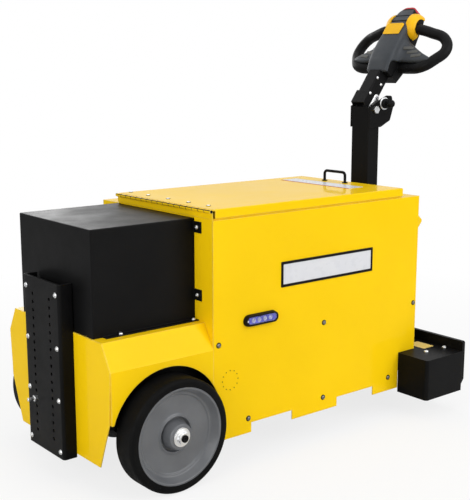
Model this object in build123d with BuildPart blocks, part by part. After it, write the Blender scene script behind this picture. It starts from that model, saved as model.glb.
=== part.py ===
"""Walk-behind electric tow tractor, in millimetres.

+X points to the tiller end, where the operator walks, +Y to the left and +Z up.  The origin lies on
the floor below the middle of the overall box.  Right is -Y, the side with the removable panel.
"""

import os
from math import cos, radians, sin, sqrt

from build123d import *

# Driving dimensions: the body box
BODY_FRONT_X = -351.05  # outer face of the body's hitch-end wall, from the middle of the whole tractor
BODY_LENGTH = 808.0
BODY_WIDTH = 540.0
SHEET = 3.0  # painted steel sheet of the body and fender
DECK_Z = 688.0  # top of the body's fixed deck
DECK_SIDE_STRIP = 86.0  # deck beside the lid, on the left
DECK_REAR_STRIP = 75.0  # deck behind the lid
BAY_LIP = 28.0  # deck flange left round the battery bay's mouth
SKIRT_Z = 82.0  # lower edge of the side panels' feet
SKIRT_NOTCH_Z = 110.0
SKIRT_FRONT_NOTCH = (131.0, 284.0)  # from, to behind the front wall
SKIRT_REAR_NOTCH = (269.6, 113.6)  # from, to ahead of the black deck's corner
SEAM = 0.4  # gap between neighbouring panels

# The lid and its hinge
LID_HEIGHT = 29.0  # lid's top above the deck
LID_GAP = 5.0  # lid's skirt above the deck
HINGE_R = 5.0
HINGE_KNUCKLES = 17
HINGE_KNUCKLE_GAP = 0.5
HINGE_LEAF = 24.0  # on the lid
HINGE_WALL_LEAF = 16.0
HINGE_LEAF_T = 2.0
HINGE_PIN_R = 2.0
HANDLE_ROD_R = 4.5
HANDLE_SPAN = 92.0
HANDLE_RISE = 38.0
HANDLE_SETBACK = 40.0  # from the lid's rear edge
HANDLE_Y = -14.0
HANDLE_FOOT_R = 9.0
HANDLE_FOOT_T = 3.0

# Marker lamps
LAMP_X = 161.0  # middle, behind the body's front wall
LAMP_Z = 403.0
LAMP_SIZE = (119.0, 33.0)
LAMP_DEPTH = 12.0
LAMP_RIM = 6.0
LAMP_TAPER = 10.0
LED_COUNT = 4
LED_PITCH = 24.0
LED_R = 8.0
LED_TAPER = 20.0

# The fender housing over the drive wheels
FENDER_LENGTH = 320.0
FENDER_TOP_Z = 410.0
FENDER_TOP_WIDTH = 464.0
FENDER_SIDE_Z = 342.0  # where the slope meets the upright side
FENDER_LOW_Z = 205.0
FACE_WAIST_Z = 207.0  # front panel: lowest point of its upright edges
FACE_WAIST_WIDTH = 524.0
FACE_LOW_Z = 80.0
FACE_LOW_WIDTH = 426.0

# Drive wheels and transaxle
WHEEL_D = 305.0
WHEEL_W = 76.0
RIM_D = 260.0
TRACK = 572.0  # between the wheels' middle planes
AXLE_SETBACK = 146.0  # axle ahead of the body's front wall, towards the hitch
ARCH_GAP = 20.0
TYRE_SHOULDER_R = 9.0
HUB_LIP = 7.0  # rim's thickness at its edge
HUB_LIP_STEP = 1.5  # rim's edge below the tyre's side
HUB_WEB_OUT = 12.0  # outer side of the web, from the wheel's middle plane
HUB_WEB_T = 14.0
BOSS_R = 36.0
BOSS_FOOT_R = 54.0
WASHER_R = 25.0
WASHER_T = 3.0
NUT_R = 17.0
NUT_T = 12.0
SHAFT_R = 14.0
AXLE_TUBE_R = 32.0
AXLE_PLATE_T = 10.0
AXLE_PLATE_LAP = 90.0  # on the tray
AXLE_PLATE_FOOT = 60.0  # plate's height at its rear end
AXLE_PLATE_INSET = 38.0  # between a wheel's inner side and its axle plate
GEAR_CASE_R = 88.0
GEAR_CASE_W = 130.0
MOTOR_R = 70.0
MOTOR_L = 130.0
FIT = 0.05  # running clearance of a shaft in its bore

# Chassis, battery and cross member
TRAY_T = 4.0
TRAY_Z = 112.0
TRAY_FLANGE = 30.0
BATTERY_HEIGHT = 430.0
BATTERY_EDGE_R = 8.0
BATTERY_SIDE_GAP = 43.0  # to the tray's turned-up edges
BATTERY_END_GAP = 6.0  # to the axle frame and to the tray's end plate
CROSS_BAR = (16.0, 18.0)  # along X, along Z
CROSS_BAR_Z = 190.0

# Equipment box on the fender
BOX_LENGTH = 316.0
BOX_WIDTH = 378.0
BOX_HEIGHT = 277.0
BOX_FLANGE = 18.0
BOX_FLANGE_SETBACK = 28.0
BOX_TAB = (32.0, 30.0)  # out from the box, along Z
BOX_TAB_Z = [466.0, 649.0]  # lower edges of the tabs

# Hitch channel with its columns of bolt holes
HITCH_WIDTH = 192.0
HITCH_DEPTH = 39.0
HITCH_T = 8.0
HITCH_Z = 70.0
HITCH_HEIGHT = 468.0
HITCH_HOLE_R = 5.2
HITCH_HOLE_SPACING = (90.0, 22.2)  # across, up
HITCH_HOLE_ROWS = 18
STUD_ROW = 4  # hole row that carries the loose stud, counted from below
STUD_REACH = 26.0
STUD_R = 5.0

# Tiller-end deck, bumper plate and caster
REAR_DECK_Z = 196.0
REAR_DECK_LOW_Z = 68.0
REAR_DECK_WIDTH = 776.0
REAR_DECK_LAP = 74.0  # its outboard front walls, ahead of the body's rear wall
REAR_DECK_LENGTH = 169.0
REAR_DECK_T = 5.0
BUMPER_T = 12.0
BUMPER_RISE = 32.0
BUMPER_CHAMFER = (16.0, 36.0)  # along Y, along Z
CASTER_BAY_GAP = 9.0  # round the caster's full turn
CASTER_SETBACK = 38.0  # swivel axis ahead of the body's rear wall
CASTER_WHEEL_D = 150.0
CASTER_WHEEL_W = 46.0
CASTER_TRAIL = 42.0
CASTER_PLATE = (130.0, 110.0, 8.0)
CASTER_RACE_R = 44.0
CASTER_CROWN_T = 10.0
CASTER_LEG_T = 6.0
CASTER_GAP = 5.5
CASTER_PIN_R = 7.0
CASTER_HUB_R = 46.0

# Tiller column and its tilting arm
COLUMN_DEPTH = 51.0
COLUMN_WIDTH = 76.0
COLUMN_WALL = 4.0
COLUMN_GAP = 11.0  # between the body's rear wall and the column
COLUMN_FRONT_Z = 953.0
COLUMN_REAR_Z = 884.0
COLUMN_BASE = (80.0, 150.0, 8.0)
PIVOT_Z = 944.0
PIVOT_R = 7.0
# cheek's outline from the pivot, back and up; its first and last corners lie on the column's front
CHEEK = [(-25.5, 11.0), (55.0, 45.0), (76.0, 44.0), (85.0, 8.0), (70.0, -36.0), (26.0, -57.0), (-25.5, -57.0)]
CHEEK_T = 6.0
CHEEK_CORNER_R = 8.0
KNOB_ANGLE = 26.0
KNOB_RADIUS = 44.0
KNOB_BALL_R = 13.0
KNOB_STEM = 30.0
KNOB_WASHER_R = 20.0
TILT = 36.0  # tiller's lean from upright
ARM_OFFSET = 20.0  # arm's middle line above the pivot's
ARM_SIZE = 50.0
ARM_WALL = 4.0
ARM_START = 20.0
BRACKET_T = 3.0
BRACKET_END = 42.0
BRACKET_EYE_R = 20.0
TAB_T = 2.5
TAB_R = 18.0
TAB_REACH = 52.0

# Tiller head: distances along the arm are from the pivot, levels square to the arm, up from the pivot
LOOP_AT = 176.0  # loop's lower bar
LOOP_LEVEL = -15.0
LOOP_TILT = 6.0  # loop's plane from the arm, in degrees
GRIP_R = 20.0
# grip's middle line: out, up from the lower bar
LOOP = [(40, 0), (136, 0), (190, 38), (193, 88), (120, 132), (20, 158)]
LOOP_BEND_R = 40.0
WING = [(0, 186), (122, 184), (150, 189), (163, 199), (92, 237), (52, 264), (0, 276)]  # out, along
WING_TOP = 9.0  # levels of the wings' top and underside
WING_LOW = -28.0
WING_EDGE_R = 5.0
HEAD_SPLIT = 3.0  # level of the seam between the lower and the upper shell
# spine's sections: distance along the arm, half-width, underside, top, corner radius
SPINE = [
    (126.0, 46.0, -30.0, 40.0, 9.0),
    (180.0, 49.0, -38.0, 49.0, 9.0),
    (236.0, 49.0, -36.0, 55.0, 9.0),
    (290.0, 46.0, -30.0, 53.0, 9.0),
    (355.0, 40.0, -26.0, 42.0, 9.0),
    (377.0, 37.0, -22.0, 35.0, 9.0),
]
TIP_LENGTH = 15.0  # red push button that ends the spine
TIP_TAPER = 25.0
BUTTON = (262.0, 305.0)  # yellow push button: from, to
BUTTON_HALF = 35.0
BUTTON_TOP = 57.0
BUTTON_EDGE_R = 5.0
PADDLE_AT = 326.0
PADDLE_LEVEL = 1.0
PADDLE_R = 46.0
PADDLE_INNER_R = 26.0
PADDLE_Y = (28.0, 66.0)  # from inside the spine, out
PADDLE_LOW = -12.0  # paddles' lower edge, below their own middle

os.makedirs("parts", exist_ok=True)
finished = {}  # bounding box of each written piece, by its name


def finish(piece, label):
    """Names a piece, writes it, and keeps its box for the summary."""
    piece.part.label = label
    export_step(piece.part, f"parts/{label}.step")
    finished[label] = piece.part.bounding_box()


def block(x, y, z, mode=Mode.ADD):
    """A box between two places on each axis."""
    with Locations(((x[0] + x[1]) / 2, (y[0] + y[1]) / 2, (z[0] + z[1]) / 2)):
        Box(x[1] - x[0], y[1] - y[0], z[1] - z[0], mode=mode)


# Stations worked out from the driving dimensions
front_x = BODY_FRONT_X
rear_x = front_x + BODY_LENGTH
half_w = BODY_WIDTH / 2
fender_x = front_x - FENDER_LENGTH  # outer face of the fender's front panel
axle_x = front_x - AXLE_SETBACK
axle_z = WHEEL_D / 2
arch_r = WHEEL_D / 2 + ARCH_GAP
lid_top = DECK_Z + LID_HEIGHT
lid_rear_x = rear_x - DECK_REAR_STRIP
lid_left_y = half_w - DECK_SIDE_STRIP
deck_x0 = rear_x - REAR_DECK_LAP
deck_x1 = deck_x0 + REAR_DECK_LENGTH
tray_x0 = front_x + arch_r - AXLE_SETBACK + ARCH_GAP / 2
caster_x = rear_x - CASTER_SETBACK
caster_half = CASTER_WHEEL_W / 2 + CASTER_GAP + CASTER_LEG_T
caster_swing = sqrt((CASTER_TRAIL + CASTER_WHEEL_D / 2) ** 2 + caster_half**2)
tray_x1 = caster_x - caster_swing - CASTER_BAY_GAP
SIDES = {"right": -1, "left": 1}

# Chassis: the floor tray, whose turned-up edges carry the side panels
with BuildPart() as chassis_tray:
    inner_half = half_w - SHEET
    with BuildSketch(Plane.YZ.offset(tray_x0)):
        with BuildLine():
            Polyline(
                (-inner_half, TRAY_Z),
                (inner_half, TRAY_Z),
                (inner_half, TRAY_Z + TRAY_FLANGE),
                (inner_half - TRAY_T, TRAY_Z + TRAY_FLANGE),
                (inner_half - TRAY_T, TRAY_Z + TRAY_T),
                (-inner_half + TRAY_T, TRAY_Z + TRAY_T),
                (-inner_half + TRAY_T, TRAY_Z + TRAY_FLANGE),
                (-inner_half, TRAY_Z + TRAY_FLANGE),
                close=True,
            )
        make_face()
    extrude(amount=tray_x1 - tray_x0)
    # upright end plate that hangs the tray from the tiller-end deck
    block(
        (tray_x1 - TRAY_T, tray_x1),
        (-inner_half + TRAY_T, inner_half - TRAY_T),
        (TRAY_Z, REAR_DECK_Z - REAR_DECK_T),
    )
finish(chassis_tray, "chassis_tray")

# Axle frame: two upright plates that run forward from the tray and hold the axle tubes, and the bar
# across the fender's foot that ties them together
plate_y = TRACK / 2 - WHEEL_W / 2 - AXLE_PLATE_INSET  # outer face
plate_x0 = fender_x + SHEET
bar_x1 = plate_x0 + CROSS_BAR[0]
bar_top = CROSS_BAR_Z + CROSS_BAR[1]
bar_half = FACE_WAIST_WIDTH / 2 - SHEET * 2
with BuildPart() as axle_frame:
    for side in SIDES.values():
        plate_mid = side * (plate_y - AXLE_PLATE_T / 2)
        with BuildSketch(Plane.XZ.offset(-plate_mid)):
            with BuildLine():
                Polyline(
                    (plate_x0, CROSS_BAR_Z),
                    (plate_x0, FENDER_TOP_Z - SHEET),
                    (front_x, FENDER_TOP_Z - SHEET),
                    (tray_x0 + AXLE_PLATE_LAP, TRAY_Z + AXLE_PLATE_FOOT),
                    (tray_x0 + AXLE_PLATE_LAP, TRAY_Z + TRAY_T),
                    (tray_x0, TRAY_Z + TRAY_T),
                    (axle_x + AXLE_TUBE_R * 2, axle_z - AXLE_TUBE_R * 1.5),
                    (axle_x - AXLE_TUBE_R * 2, axle_z - AXLE_TUBE_R * 1.5),
                    (bar_x1, CROSS_BAR_Z),
                    close=True,
                )
            make_face()
            with Locations((axle_x, axle_z)):
                Circle(AXLE_TUBE_R, mode=Mode.SUBTRACT)
        extrude(amount=AXLE_PLATE_T / 2, both=True)
    block((plate_x0, bar_x1), (-bar_half, bar_half), (CROSS_BAR_Z, bar_top))
finish(axle_frame, "axle_frame")

# Transaxle: round gear case, axle tubes through the plates, drive motor standing on top
tube_end = plate_y + AXLE_PLATE_INSET / 3
with BuildPart() as transaxle:
    with BuildSketch(Plane((axle_x, 0, axle_z), x_dir=(0, 1, 0), z_dir=(1, 0, 0))):
        with BuildLine():
            Polyline(
                (-tube_end, SHAFT_R + 2 * FIT),
                (-tube_end, AXLE_TUBE_R),
                (-GEAR_CASE_W, AXLE_TUBE_R),
                (-GEAR_CASE_W / 2, GEAR_CASE_R * 0.8),
                (-GEAR_CASE_W / 4, GEAR_CASE_R),
                (GEAR_CASE_W / 4, GEAR_CASE_R),
                (GEAR_CASE_W / 2, GEAR_CASE_R * 0.8),
                (GEAR_CASE_W, AXLE_TUBE_R),
                (tube_end, AXLE_TUBE_R),
                (tube_end, SHAFT_R + 2 * FIT),
                close=True,
            )
        make_face()
    revolve(axis=Axis((axle_x, 0, axle_z), (0, 1, 0)))
    with BuildSketch(Plane((axle_x, 0, axle_z + GEAR_CASE_R / 2))):
        Circle(MOTOR_R)
    extrude(amount=MOTOR_L)
    top_rim = transaxle.edges().filter_by(GeomType.CIRCLE).sort_by(Axis.Z)[-1]
    chamfer(top_rim, MOTOR_R / 8)
finish(transaxle, "transaxle")

# Battery, one heavy block on the tray
frame_end = tray_x0 + AXLE_PLATE_LAP
battery_half = half_w - SHEET - TRAY_T - BATTERY_SIDE_GAP
with BuildPart() as battery:
    block(
        (frame_end + BATTERY_END_GAP, tray_x1 - TRAY_T - BATTERY_END_GAP),
        (-battery_half, battery_half),
        (TRAY_Z + TRAY_T, TRAY_Z + TRAY_T + BATTERY_HEIGHT),
    )
    fillet(battery.edges().filter_by(Axis.Z), BATTERY_EDGE_R)
    fillet(battery.faces().sort_by(Axis.Z)[-1].edges(), BATTERY_EDGE_R / 2)
finish(battery, "battery")

# Body: hitch-end wall, with the raised strip that carries the hinge
hinge_x = front_x - HINGE_R
hinge_z = lid_top - HINGE_R
wall_half = half_w - SHEET
bulkhead_half = plate_y - AXLE_PLATE_T - SEAM  # lower part, between the axle plates
wing_y = plate_y + SEAM  # outer parts, beside the plates, that close the ends of the fender's slopes
with BuildPart() as front_wall:
    with BuildSketch(Plane.YZ.offset(front_x)):
        with BuildLine():
            Polyline(
                (-bulkhead_half, FENDER_LOW_Z),
                (bulkhead_half, FENDER_LOW_Z),
                (bulkhead_half, FENDER_TOP_Z),
                (wing_y, FENDER_TOP_Z),
                (wing_y, FENDER_SIDE_Z),
                (wall_half, FENDER_SIDE_Z),
                (wall_half, DECK_Z),
                (lid_left_y, DECK_Z),
                (lid_left_y, hinge_z - HINGE_R),
                (-wall_half, hinge_z - HINGE_R),
                (-wall_half, FENDER_SIDE_Z),
                (-wing_y, FENDER_SIDE_Z),
                (-wing_y, FENDER_TOP_Z),
                (-bulkhead_half, FENDER_TOP_Z),
                close=True,
            )
        make_face()
    extrude(amount=SHEET)
finish(front_wall, "front_wall")

# Body: wall at the tiller end, standing on the black deck
with BuildPart() as rear_wall:
    block((rear_x - SHEET, rear_x), (-wall_half, wall_half), (REAR_DECK_Z, DECK_Z - SHEET))
finish(rear_wall, "rear_wall")

# Body: fixed deck, cut out over the battery bay
bay_x = (front_x + SHEET + BAY_LIP, lid_rear_x - BAY_LIP)
bay_y = (-half_w + BAY_LIP, lid_left_y - BAY_LIP)
with BuildPart() as top_deck:
    block((front_x + SHEET, rear_x), (-wall_half, wall_half), (DECK_Z - SHEET, DECK_Z))
    block(bay_x, bay_y, (DECK_Z - SHEET, DECK_Z), mode=Mode.SUBTRACT)
    fillet(top_deck.edges().filter_by(Axis.Z).group_by(SortBy.DISTANCE)[0], BAY_LIP / 2)
finish(top_deck, "top_deck")

# Body: side panels with notched feet, cut to the wheel arch in front and round the black deck behind
deck_notch_x = deck_x0 - SEAM
skirt_notches = [
    (front_x + SKIRT_FRONT_NOTCH[0], front_x + SKIRT_FRONT_NOTCH[1]),
    (deck_notch_x - SKIRT_REAR_NOTCH[0], deck_notch_x - SKIRT_REAR_NOTCH[1]),
]
for side_name, side in SIDES.items():
    with BuildPart() as side_panel:
        with BuildSketch(Plane.XZ.offset(-side * half_w)) as panel_face:
            with BuildLine():
                foot_line = [(front_x, SKIRT_Z)]
                for start_x, end_x in skirt_notches:
                    foot_line.append((start_x, SKIRT_Z))
                    foot_line.append((start_x, SKIRT_NOTCH_Z))
                    foot_line.append((end_x, SKIRT_NOTCH_Z))
                    foot_line.append((end_x, SKIRT_Z))
                Polyline(
                    *foot_line,
                    (deck_notch_x, SKIRT_Z),
                    (deck_notch_x, REAR_DECK_Z + SEAM),
                    (rear_x, REAR_DECK_Z + SEAM),
                    (rear_x, DECK_Z),
                    (front_x, DECK_Z),
                    close=True,
                )
            make_face()
            with Locations((axle_x, axle_z)):
                Circle(arch_r, mode=Mode.SUBTRACT)
        extrude(amount=side * SHEET)
    finish(side_panel, f"side_panel_{side_name}")

# Fender: one folded sheet over both wheels, with the arches cut in its sides
fender_x0 = fender_x + SHEET
top_half = FENDER_TOP_WIDTH / 2
fender_fold = [(half_w, FENDER_LOW_Z), (half_w, FENDER_SIDE_Z), (top_half, FENDER_TOP_Z)]
with BuildPart() as fender:
    with BuildSketch(Plane.YZ.offset(fender_x0)):
        with BuildLine():
            Polyline(*fender_fold, *[(-y, z) for y, z in reversed(fender_fold)])
            offset(amount=SHEET, side=Side.LEFT, kind=Kind.INTERSECTION)
        make_face()
    extrude(amount=front_x - fender_x0)
    with BuildSketch(Plane((axle_x, 0, axle_z), x_dir=(1, 0, 0), z_dir=(0, 1, 0))):
        Circle(arch_r)
    extrude(amount=BODY_WIDTH, both=True, mode=Mode.SUBTRACT)
finish(fender, "fender")

# Fender: front panel, tapering to its foot
face_outline = [
    (top_half, FENDER_TOP_Z),
    (half_w, FENDER_SIDE_Z),
    (FACE_WAIST_WIDTH / 2, FACE_WAIST_Z),
    (FACE_LOW_WIDTH / 2, FACE_LOW_Z),
]
with BuildPart() as front_panel:
    with BuildSketch(Plane.YZ.offset(fender_x)):
        with BuildLine():
            left_edge = [(y, z) for y, z in face_outline]
            right_edge = [(-y, z) for y, z in reversed(face_outline)]
            Polyline(*left_edge, *right_edge, close=True)
        make_face()
    extrude(amount=SHEET)
finish(front_panel, "front_panel")

# Equipment box: a black sheet cover on the fender, screwed to the front wall by four tabs
box_x0 = front_x - BOX_LENGTH
box_half = BOX_WIDTH / 2
box_top = FENDER_TOP_Z + BOX_HEIGHT
with BuildPart() as equipment_box:
    block((box_x0, front_x), (-box_half, box_half), (FENDER_TOP_Z, box_top))
    fillet(equipment_box.edges().filter_by(Axis.Z).group_by(Axis.X)[0], SHEET)
    fillet(equipment_box.edges().group_by(Axis.Z)[-1].group_by(Axis.X)[0], SHEET)
    block(
        (box_x0 + SHEET, front_x),
        (-box_half + SHEET, box_half - SHEET),
        (FENDER_TOP_Z, box_top - SHEET),
        mode=Mode.SUBTRACT,
    )
    for side in SIDES.values():
        flange_y = sorted((side * (box_half - SHEET), side * (box_half + BOX_FLANGE)))
        block((box_x0 + BOX_FLANGE_SETBACK, front_x), flange_y, (FENDER_TOP_Z, FENDER_TOP_Z + SHEET))
        for tab_z in BOX_TAB_Z:
            tab_y = sorted((side * (box_half - SHEET), side * (box_half + BOX_TAB[0])))
            block((front_x - SHEET, front_x), tab_y, (tab_z, tab_z + BOX_TAB[1]))
finish(equipment_box, "equipment_box")

# Hitch channel: a pressed channel with two columns of holes for the couplings
hitch_x0 = fender_x - HITCH_DEPTH
hitch_half = HITCH_WIDTH / 2
hitch_mid_z = HITCH_Z + HITCH_HEIGHT / 2
hole_y = HITCH_HOLE_SPACING[0] / 2
hole_z0 = hitch_mid_z - HITCH_HOLE_SPACING[1] * (HITCH_HOLE_ROWS - 1) / 2
with BuildPart() as hitch_channel:
    block((hitch_x0, fender_x), (-hitch_half, hitch_half), (HITCH_Z, HITCH_Z + HITCH_HEIGHT))
    fillet(hitch_channel.edges().filter_by(Axis.Z).group_by(Axis.X)[0], HITCH_T)
    block(
        (hitch_x0 + HITCH_T, fender_x),
        (-hitch_half + HITCH_T, hitch_half - HITCH_T),
        (HITCH_Z, HITCH_Z + HITCH_HEIGHT),
        mode=Mode.SUBTRACT,
    )
    with BuildSketch(Plane.YZ.offset(hitch_x0)):
        with Locations((0, hitch_mid_z)):
            with GridLocations(*HITCH_HOLE_SPACING, 2, HITCH_HOLE_ROWS):
                Circle(HITCH_HOLE_R)
    extrude(amount=HITCH_T, mode=Mode.SUBTRACT)
finish(hitch_channel, "hitch_channel")

# Stud left in one of the holes, with its nut on the outside
stud_z = hole_z0 + STUD_ROW * HITCH_HOLE_SPACING[1]
with BuildPart() as hitch_stud:
    with BuildSketch(Plane((hitch_x0, hole_y, stud_z), x_dir=(0, 1, 0), z_dir=(1, 0, 0))):
        Circle(STUD_R)
    extrude(amount=HITCH_T)
    extrude(to_extrude=hitch_stud.faces().sort_by(Axis.X)[0], amount=STUD_REACH)
    chamfer(hitch_stud.edges().filter_by(GeomType.CIRCLE).sort_by(Axis.X)[0], STUD_R / 5)
    with BuildSketch(Plane((hitch_x0, hole_y, stud_z), x_dir=(0, 1, 0), z_dir=(-1, 0, 0))):
        RegularPolygon(STUD_R * 1.8, 6)
    extrude(amount=STUD_R * 1.6)
finish(hitch_stud, "hitch_stud")

# Tiller-end deck: a black folded box, open below, that reaches forward under the body to the tray
deck_half = REAR_DECK_WIDTH / 2
with BuildPart() as rear_deck:
    block((deck_x0, deck_x1), (-deck_half, deck_half), (REAR_DECK_LOW_Z, REAR_DECK_Z))
    fillet(rear_deck.edges().filter_by(Axis.Z).group_by(Axis.X)[0], REAR_DECK_T * 2)
    block(
        (deck_x0 + REAR_DECK_T, deck_x1),
        (-deck_half + REAR_DECK_T, deck_half - REAR_DECK_T),
        (REAR_DECK_LOW_Z, REAR_DECK_Z - REAR_DECK_T),
        mode=Mode.SUBTRACT,
    )
    block(
        (deck_x0, deck_x0 + REAR_DECK_T),
        (-half_w - SEAM, half_w + SEAM),
        (REAR_DECK_LOW_Z, REAR_DECK_Z - REAR_DECK_T),
        mode=Mode.SUBTRACT,
    )
    block((tray_x1 - TRAY_T, deck_x0), (-wall_half, wall_half), (REAR_DECK_Z - REAR_DECK_T, REAR_DECK_Z))
finish(rear_deck, "rear_deck")

# Bumper plate across the deck's end, standing up as a kick edge
with BuildPart() as bumper_plate:
    with BuildSketch(Plane.YZ.offset(deck_x1)):
        with BuildLine():
            Polyline(
                (-deck_half, REAR_DECK_Z + BUMPER_RISE),
                (-deck_half, REAR_DECK_LOW_Z + BUMPER_CHAMFER[1]),
                (-deck_half + BUMPER_CHAMFER[0], REAR_DECK_LOW_Z),
                (deck_half - BUMPER_CHAMFER[0], REAR_DECK_LOW_Z),
                (deck_half, REAR_DECK_LOW_Z + BUMPER_CHAMFER[1]),
                (deck_half, REAR_DECK_Z + BUMPER_RISE),
                close=True,
            )
        make_face()
    extrude(amount=BUMPER_T)
    fillet(bumper_plate.edges().filter_by(Axis.X).group_by(Axis.Z)[-1], BUMPER_T / 2)
finish(bumper_plate, "bumper_plate")

# Marker lamps: an oval bezel on each side panel with four light points
lamp_x = front_x + LAMP_X
with BuildPart() as lamp_bezels:
    for side in SIDES.values():
        with BuildSketch(Plane((lamp_x, side * half_w, LAMP_Z), x_dir=(1, 0, 0), z_dir=(0, side, 0))):
            SlotOverall(*LAMP_SIZE)
        extrude(amount=LAMP_DEPTH, taper=LAMP_TAPER)
        face_plane = Plane((lamp_x, side * (half_w + LAMP_DEPTH), LAMP_Z), x_dir=(1, 0, 0), z_dir=(0, side, 0))
        with BuildSketch(face_plane):
            SlotOverall(LAMP_SIZE[0] - LAMP_RIM * 2, LAMP_SIZE[1] - LAMP_RIM * 2)
        extrude(amount=-LAMP_DEPTH / 2, mode=Mode.SUBTRACT)
finish(lamp_bezels, "lamp_bezels")

with BuildPart() as lamp_leds:
    for side in SIDES.values():
        seat_y = side * (half_w + LAMP_DEPTH / 2)
        with BuildSketch(Plane((lamp_x, seat_y, LAMP_Z), x_dir=(1, 0, 0), z_dir=(0, side, 0))):
            with GridLocations(LED_PITCH, 0, LED_COUNT, 1):
                Circle(LED_R)
        extrude(amount=LAMP_DEPTH / 2, taper=LED_TAPER)
finish(lamp_leds, "lamp_leds")

# Lid: a folded pan, open below, its front edge on the hinge
lid_x0 = front_x + SEAM
with BuildPart() as lid:
    block((lid_x0, lid_rear_x), (-half_w, lid_left_y), (DECK_Z + LID_GAP, lid_top))
    fillet(lid.edges().filter_by(Axis.Z).group_by(Axis.X)[-1], SHEET)
    fillet(lid.faces().sort_by(Axis.Z)[-1].edges().sort_by(Axis.X)[1:], SHEET * 0.8)
    block(
        (lid_x0, lid_rear_x - SHEET),
        (-half_w + SHEET, lid_left_y - SHEET),
        (DECK_Z + LID_GAP, lid_top - SHEET),
        mode=Mode.SUBTRACT,
    )
    # the skirts start behind the wall's raised strip
    block(
        (lid_x0, front_x + SHEET + LID_GAP),
        (-half_w, lid_left_y),
        (DECK_Z + LID_GAP, lid_top - SHEET),
        mode=Mode.SUBTRACT,
    )
finish(lid, "lid")

# Long hinge: knuckles in turn on the wall's leaf, which also holds the pin, and on the lid's leaf
hinge_y0 = -half_w
hinge_span = lid_left_y + half_w
knuckle_pitch = hinge_span / HINGE_KNUCKLES
hinge_plane = Plane((hinge_x, hinge_y0, hinge_z), x_dir=(1, 0, 0), z_dir=(0, 1, 0))
with BuildPart() as hinge_fixed:
    block(
        (front_x - HINGE_LEAF_T, front_x),
        (hinge_y0, lid_left_y),
        (hinge_z - HINGE_R - HINGE_WALL_LEAF, hinge_z - HINGE_R),
    )
    for number in range(0, HINGE_KNUCKLES, 2):
        start = knuckle_pitch * number + HINGE_KNUCKLE_GAP / 2
        with BuildSketch(hinge_plane.offset(start)):
            Circle(HINGE_R)
            with Locations((HINGE_R - HINGE_LEAF_T / 2, HINGE_R / 2)):
                Rectangle(HINGE_LEAF_T, HINGE_R)
        extrude(amount=knuckle_pitch - HINGE_KNUCKLE_GAP)
    with BuildSketch(hinge_plane):
        Circle(HINGE_PIN_R)
    extrude(amount=hinge_span)
finish(hinge_fixed, "hinge_fixed")

with BuildPart() as hinge_lid:
    leaf_z = (hinge_z, hinge_z + HINGE_LEAF_T)
    block((lid_x0, lid_x0 + HINGE_LEAF), (hinge_y0 + SHEET, lid_left_y - SHEET), leaf_z)
    for number in range(1, HINGE_KNUCKLES, 2):
        start = knuckle_pitch * number + HINGE_KNUCKLE_GAP / 2
        with BuildSketch(hinge_plane.offset(start)):
            Circle(HINGE_R)
            with Locations((HINGE_R, -HINGE_LEAF_T / 2)):
                Rectangle(HINGE_R * 2, HINGE_LEAF_T)
            Circle(HINGE_PIN_R + FIT, mode=Mode.SUBTRACT)
        extrude(amount=knuckle_pitch - HINGE_KNUCKLE_GAP)
finish(hinge_lid, "hinge_lid")

# Pull handle on the lid: a bent rod on two round feet
handle_x = lid_rear_x - HANDLE_SETBACK
handle_ends = [HANDLE_Y - HANDLE_SPAN / 2, HANDLE_Y + HANDLE_SPAN / 2]
handle_top = lid_top + HANDLE_RISE - HANDLE_ROD_R
with BuildPart() as lid_handle:
    with BuildLine():
        FilletPolyline(
            (handle_x, handle_ends[0], lid_top),
            (handle_x, handle_ends[0], handle_top),
            (handle_x, handle_ends[1], handle_top),
            (handle_x, handle_ends[1], lid_top),
            radius=HANDLE_ROD_R * 2.5,
        )
    with BuildSketch(Plane((handle_x, handle_ends[0], lid_top))):
        Circle(HANDLE_ROD_R)
    sweep()
    for handle_end in handle_ends:
        with BuildSketch(Plane((handle_x, handle_end, lid_top))):
            Circle(HANDLE_FOOT_R)
        extrude(amount=HANDLE_FOOT_T)
finish(lid_handle, "lid_handle")

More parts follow.
